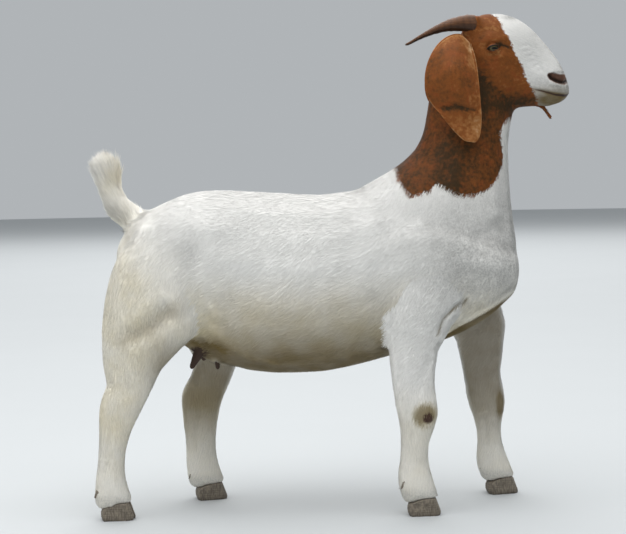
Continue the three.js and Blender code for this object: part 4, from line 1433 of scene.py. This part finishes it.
def claw_material(look):
    """Hoof horn: pale grey with fine upright grain, growth rings and a worn darker edge."""
    material, tree, where = start_material("Hoof horn, worn on ground")
    upright = add(tree, "ShaderNodeMapping", {"Vector": where, "Scale": (1, 1, 0.2)})
    grain = add(tree, "ShaderNodeTexNoise", {"Vector": upright, "Scale": 1 / (2.2 * MM), "Detail": 4})
    scuffs = add(tree, "ShaderNodeTexNoise", {"Vector": where, "Scale": 1 / (10 * MM), "Detail": 3})
    height = add(tree, "ShaderNodeSeparateXYZ", {0: where}, "Z")
    worn = add(tree, "ShaderNodeMapRange", {0: height, 1: 14 * MM, 2: 0.0}, **SMOOTH)
    worn = add(tree, "ShaderNodeMath", {0: worn, 1: scuffs}, operation="MULTIPLY")
    streaks = add(tree, "ShaderNodeMapRange", {0: grain, 1: 0.3, 2: 0.7}, **SMOOTH)
    ring = add(tree, "ShaderNodeAttribute", {}, "Fac", attribute_name="ring")
    colour = look.claw
    for share, over in ((streaks, "5E564B"), (ring, "4C443A"), (worn, "3A322A")):
        colour = add(tree, "ShaderNodeMix", {0: share, 6: colour, 7: linear(over)}, **COLOURS)
    bump = add(tree, "ShaderNodeBump", {"Height": grain, "Strength": 0.4, "Distance": 0.6 * MM})
    return end_material(material, {"Base Color": colour, "Roughness": 0.6, "Normal": bump})


def floor_material(look):
    """Painted floor: matt and even, with a faint broad unevenness."""
    material, tree, where = start_material("Painted floor, matt")
    cloud = add(tree, "ShaderNodeTexNoise", {"Vector": where, "Scale": 1 / 0.6, "Detail": 3})
    share = add(tree, "ShaderNodeMapRange", {0: cloud, 1: 0.3, 2: 0.7, 4: 0.06}, **SMOOTH)
    tint = add(tree, "ShaderNodeMix", {0: share, 6: look.floor, 7: linear("ACAFB0")}, **COLOURS)
    return end_material(material, {"Base Color": tint, "Roughness": 0.85})


# ---------------------------------------------------------------- eyes, horns and claws
# How far the cornea bulges, as a share of the eyeball's radius, and where it starts to, as the
# cosine of the angle from the gaze.
CORNEA_BULGE = 0.045
CORNEA_EDGE = 0.8
# The even cells of horns and claws, and how deep they lie under the frame's outline, in metres.
HORN_CELL = 0.0022
HORN_DEPTH = 0.0003
CLAW_CELL = 0.0024
CLAW_DEPTH = 0.0002
# A horn's foot and length in the side view, its growth rings and how much they crowd to the tip.
HORN_FOOT = 352
HORN_LENGTH = 150
HORN_RINGS = 10
HORN_CROWDING = 2.0
# The distance between a claw's growth rings, and the height below which it is pressed flat on the floor.
CLAW_RING = 5.2
CLAW_SOLE = 1.6


def build_eye(side):
    """An eyeball with a bulging cornea, and an unwrap that looks straight at its iris."""
    bm = bmesh.new()
    bmesh.ops.create_uvsphere(bm, u_segments=48, v_segments=32, radius=EYE_RADIUS * MM)
    gaze = Vector((0.10, side, 0.0)).normalized()
    bmesh.ops.rotate(bm, verts=bm.verts, matrix=Vector((0, 0, 1)).rotation_difference(gaze).to_matrix())
    layer = bm.loops.layers.uv.new("Iris")
    ahead = (Vector((1, 0, 0)) - gaze * gaze.x).normalized()
    up = Vector((0, 0, 1))
    for face in bm.faces:
        face.smooth = True
        for loop in face.loops:
            point = loop.vert.co / (EYE_RADIUS * MM)
            loop[layer].uv = (0.5 + point.dot(ahead) * 0.5, 0.5 + point.dot(up) * 0.5)
    for vertex in bm.verts:
        turned = vertex.co.normalized().dot(gaze)
        bulge = max(0.0, turned - CORNEA_EDGE) / (1 - CORNEA_EDGE)
        vertex.co *= 1 + CORNEA_BULGE * bulge * (2 - bulge)
    bmesh.ops.translate(bm, verts=bm.verts, vec=place(EYE.x, side * EYE.y, EYE.z))
    return new_mesh("eyeball", bm)


def build_horn(node):
    """A back-swept horn with growth rings that fade towards its tip."""
    mesh = softened(remeshed([node], HORN_CELL), 8, HORN_DEPTH)
    clay = Clay(mesh)
    clay.at = clay.relax(clay.at, 8)
    clay.keep()
    reach = (HORN_FOOT - clay.at[:, 0]) / HORN_LENGTH
    phase = 2 * math.pi * (reach * HORN_RINGS + HORN_CROWDING * reach ** 2) + 1.2 * drift(clay.at, 45, 31)
    ring = np.sin(phase) * step(0.95, 0.3, reach)
    clay.push(0.3 + 0.22 * ring + 0.2 * drift(clay.at, 30, 32))
    clay.keep()
    write_values(mesh, "ring", np.clip(-ring, 0, 1) * 0.22)
    # painted shade where the horn faces down
    write_values(mesh, "below", step(0.1, -0.7, clay.out[:, 2]) * 0.85)
    return mesh


def build_claw(node):
    """One toe of horn, flat underneath, with growth rings round its wall."""
    mesh = softened(remeshed([node], CLAW_CELL), 3, CLAW_DEPTH)
    clay = Clay(mesh)
    height = clay.at[:, 2]
    wall = step(0.7, 0.2, np.abs(clay.out[:, 2])) * step(3, 8, height)
    ring = np.sin(height * 2 * math.pi / CLAW_RING + 0.06 * clay.at[:, 0] + drift(clay.at, 30, 41))
    clay.push(0.35 * ring, wall)
    clay.at[:, 2] = np.where(height < CLAW_SOLE, 0.0, clay.at[:, 2])
    clay.keep()
    write_values(mesh, "ring", np.clip(-ring, 0, 1) * wall * 0.45)
    return mesh


def finish_piece(made, material, slot, *nodes):
    """Gives a piece its material, hangs it from the root and hides the solids it stands for."""
    made.data.materials.clear()
    made.data.materials.append(material)
    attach(made, "root")
    if nodes:
        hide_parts(*nodes)


# ---------------------------------------------------------------- operators
class GOAT_OT_skin(bpy.types.Operator):
    """Build the skin of the whole animal"""
    bl_idname = "goat.skin"
    bl_label = "Skin"

    def execute(self, context):
        look = context.scene.goat_look
        skin = build_skin(look)
        finish_piece(skin, skin_material(look), "white_coat", *FLESH, *EARS)
        return {"FINISHED"}


class GOAT_OT_coat(bpy.types.Operator):
    """Grow the coat on the skin"""
    bl_idname = "goat.coat"
    bl_label = "Coat"

    def execute(self, context):
        look = context.scene.goat_look
        hair = coat_material(look)
        for piece in build_coat(bpy.data.objects["skin"], look):
            chestnut = any(word in piece.name for word in ("head", "neck", "ear_"))
            finish_piece(piece, hair, "brown_coat" if chestnut else "white_coat")
        finish_piece(build_beard(), hair, "brown_coat", "beard")
        return {"FINISHED"}


class GOAT_OT_eyes(bpy.types.Operator):
    """Set the eyes in their sockets"""
    bl_idname = "goat.eyes"
    bl_label = "Eyes"

    def execute(self, context):
        material = eye_material(context.scene.goat_look)
        for name, side in SIDES.items():
            finish_piece(new_object(f"eyeball_{name}", build_eye(side)), material, "eye", f"eye_{name}")
        return {"FINISHED"}


class GOAT_OT_horns(bpy.types.Operator):
    """Build the horns"""
    bl_idname = "goat.horns"
    bl_label = "Horns"

    def execute(self, context):
        material = horn_material(context.scene.goat_look)
        for name in SIDES:
            mesh = build_horn(f"horn_{name}")
            smooth_faces(mesh)
            finish_piece(new_object(f"horn_sheath_{name}", mesh), material, "horn", f"horn_{name}")
        return {"FINISHED"}


class GOAT_OT_claws(bpy.types.Operator):
    """Build the claws and dewclaws"""
    bl_idname = "goat.claws"
    bl_label = "Claws"

    def execute(self, context):
        material = claw_material(context.scene.goat_look)
        for node in CLAWS + DEWCLAWS:
            mesh = build_claw(node)
            smooth_faces(mesh)
            slot = "hoof" if node in CLAWS else "dewclaw"
            finish_piece(new_object(f"{node}_horn", mesh), material, slot, node)
        return {"FINISHED"}


# The stage, in metres: the floor, the sky, and each light's place, target, size and watts.
FLOOR_RADIUS = 30
SKY_STRENGTH = 0.55
LIGHTS = {
    "Overhead": ((-0.5, -0.6, 5.5), (0, 0, 0.4), 7.0, 385),
    "Rear": ((0, 10.5, 6.5), (0, 9.5, 0), 12.0, 800),
    "Front": ((-3.2, -3.6, 2.6), (-0.2, 0, 0.6), 4.5, 32),
}


class GOAT_OT_stage(bpy.types.Operator):
    """Lay the floor and set the lights and the camera"""
    bl_idname = "goat.stage"
    bl_label = "Stage"

    def execute(self, context):
        look = context.scene.goat_look
        bm = bmesh.new()
        bmesh.ops.create_circle(bm, cap_ends=True, segments=96, radius=FLOOR_RADIUS)
        floor = new_object("floor", new_mesh("floor", bm))
        floor.data.materials.append(floor_material(look))

        world = bpy.data.worlds.new("Studio sky")
        context.scene.world = world
        context.scene.view_settings.view_transform = "Standard"
        world.use_nodes = True
        background = world.node_tree.nodes["Background"]
        background.inputs["Color"].default_value = (*linear("E6EBEF"), 1.0)
        background.inputs["Strength"].default_value = SKY_STRENGTH
        for name, settings in LIGHTS.items():
            add_light(name, *settings)
        add_camera(context)
        return {"FINISHED"}


def add_light(name, spot, target, size, watts):
    """A square soft light that faces a target."""
    data = bpy.data.lights.new(name, "AREA")
    data.size = size
    data.energy = watts
    light = new_object(name, data)
    aim = Vector(target) - Vector(spot)
    light.matrix_world = Matrix.Translation(spot) @ aim.to_track_quat("-Z", "Y").to_matrix().to_4x4()


# The camera: millimetres on the drawing, degrees, and a small shift that keeps the uprights straight.
CAMERA = {
    "x": 0.6, "distance": 3600, "height": 707, "down": 1.974, "roll": 1.048, "lens": 96.43, "shift": -0.05,
}


def add_camera(context):
    """The camera, at the height of the goat's back, square to its side."""
    data = bpy.data.cameras.new("Camera")
    data.sensor_width = 36
    data.lens = CAMERA["lens"]
    data.shift_y = CAMERA["shift"]
    data.clip_end = 100
    camera = new_object("Camera", data)
    tip = Matrix.Rotation(math.radians(90 - CAMERA["down"]), 4, "X")
    roll = Matrix.Rotation(math.radians(-CAMERA["roll"]), 4, "Z")
    spot = place(CAMERA["x"], -CAMERA["distance"], CAMERA["height"])
    camera.matrix_world = Matrix.Translation(spot) @ tip @ roll
    context.scene.camera = camera


class GOAT_PT_panel(bpy.types.Panel):
    """The goat's pieces and settings"""
    bl_idname = "GOAT_PT_panel"
    bl_label = "Standing Goat"
    bl_space_type = "VIEW_3D"
    bl_region_type = "UI"
    bl_category = "Goat"

    def draw(self, context):
        for name in GoatLook.__annotations__:
            self.layout.prop(context.scene.goat_look, name)
        for operator in PIECES:
            self.layout.operator(operator.bl_idname)


PIECES = (GOAT_OT_stage, GOAT_OT_skin, GOAT_OT_coat, GOAT_OT_eyes, GOAT_OT_horns, GOAT_OT_claws)
CLASSES = (GoatLook, *PIECES, GOAT_PT_panel)


def register():
    for item in CLASSES:
        bpy.utils.register_class(item)
    bpy.types.Scene.goat_look = bpy.props.PointerProperty(type=GoatLook)


def unregister():
    del bpy.types.Scene.goat_look
    for item in reversed(CLASSES):
        bpy.utils.unregister_class(item)


def main():
    """Builds every piece in order."""
    register()
    bpy.ops.goat.stage()
    bpy.ops.goat.skin()
    bpy.ops.goat.coat()
    bpy.ops.goat.eyes()
    bpy.ops.goat.horns()
    bpy.ops.goat.claws()


if __name__ == "__main__":
    main()
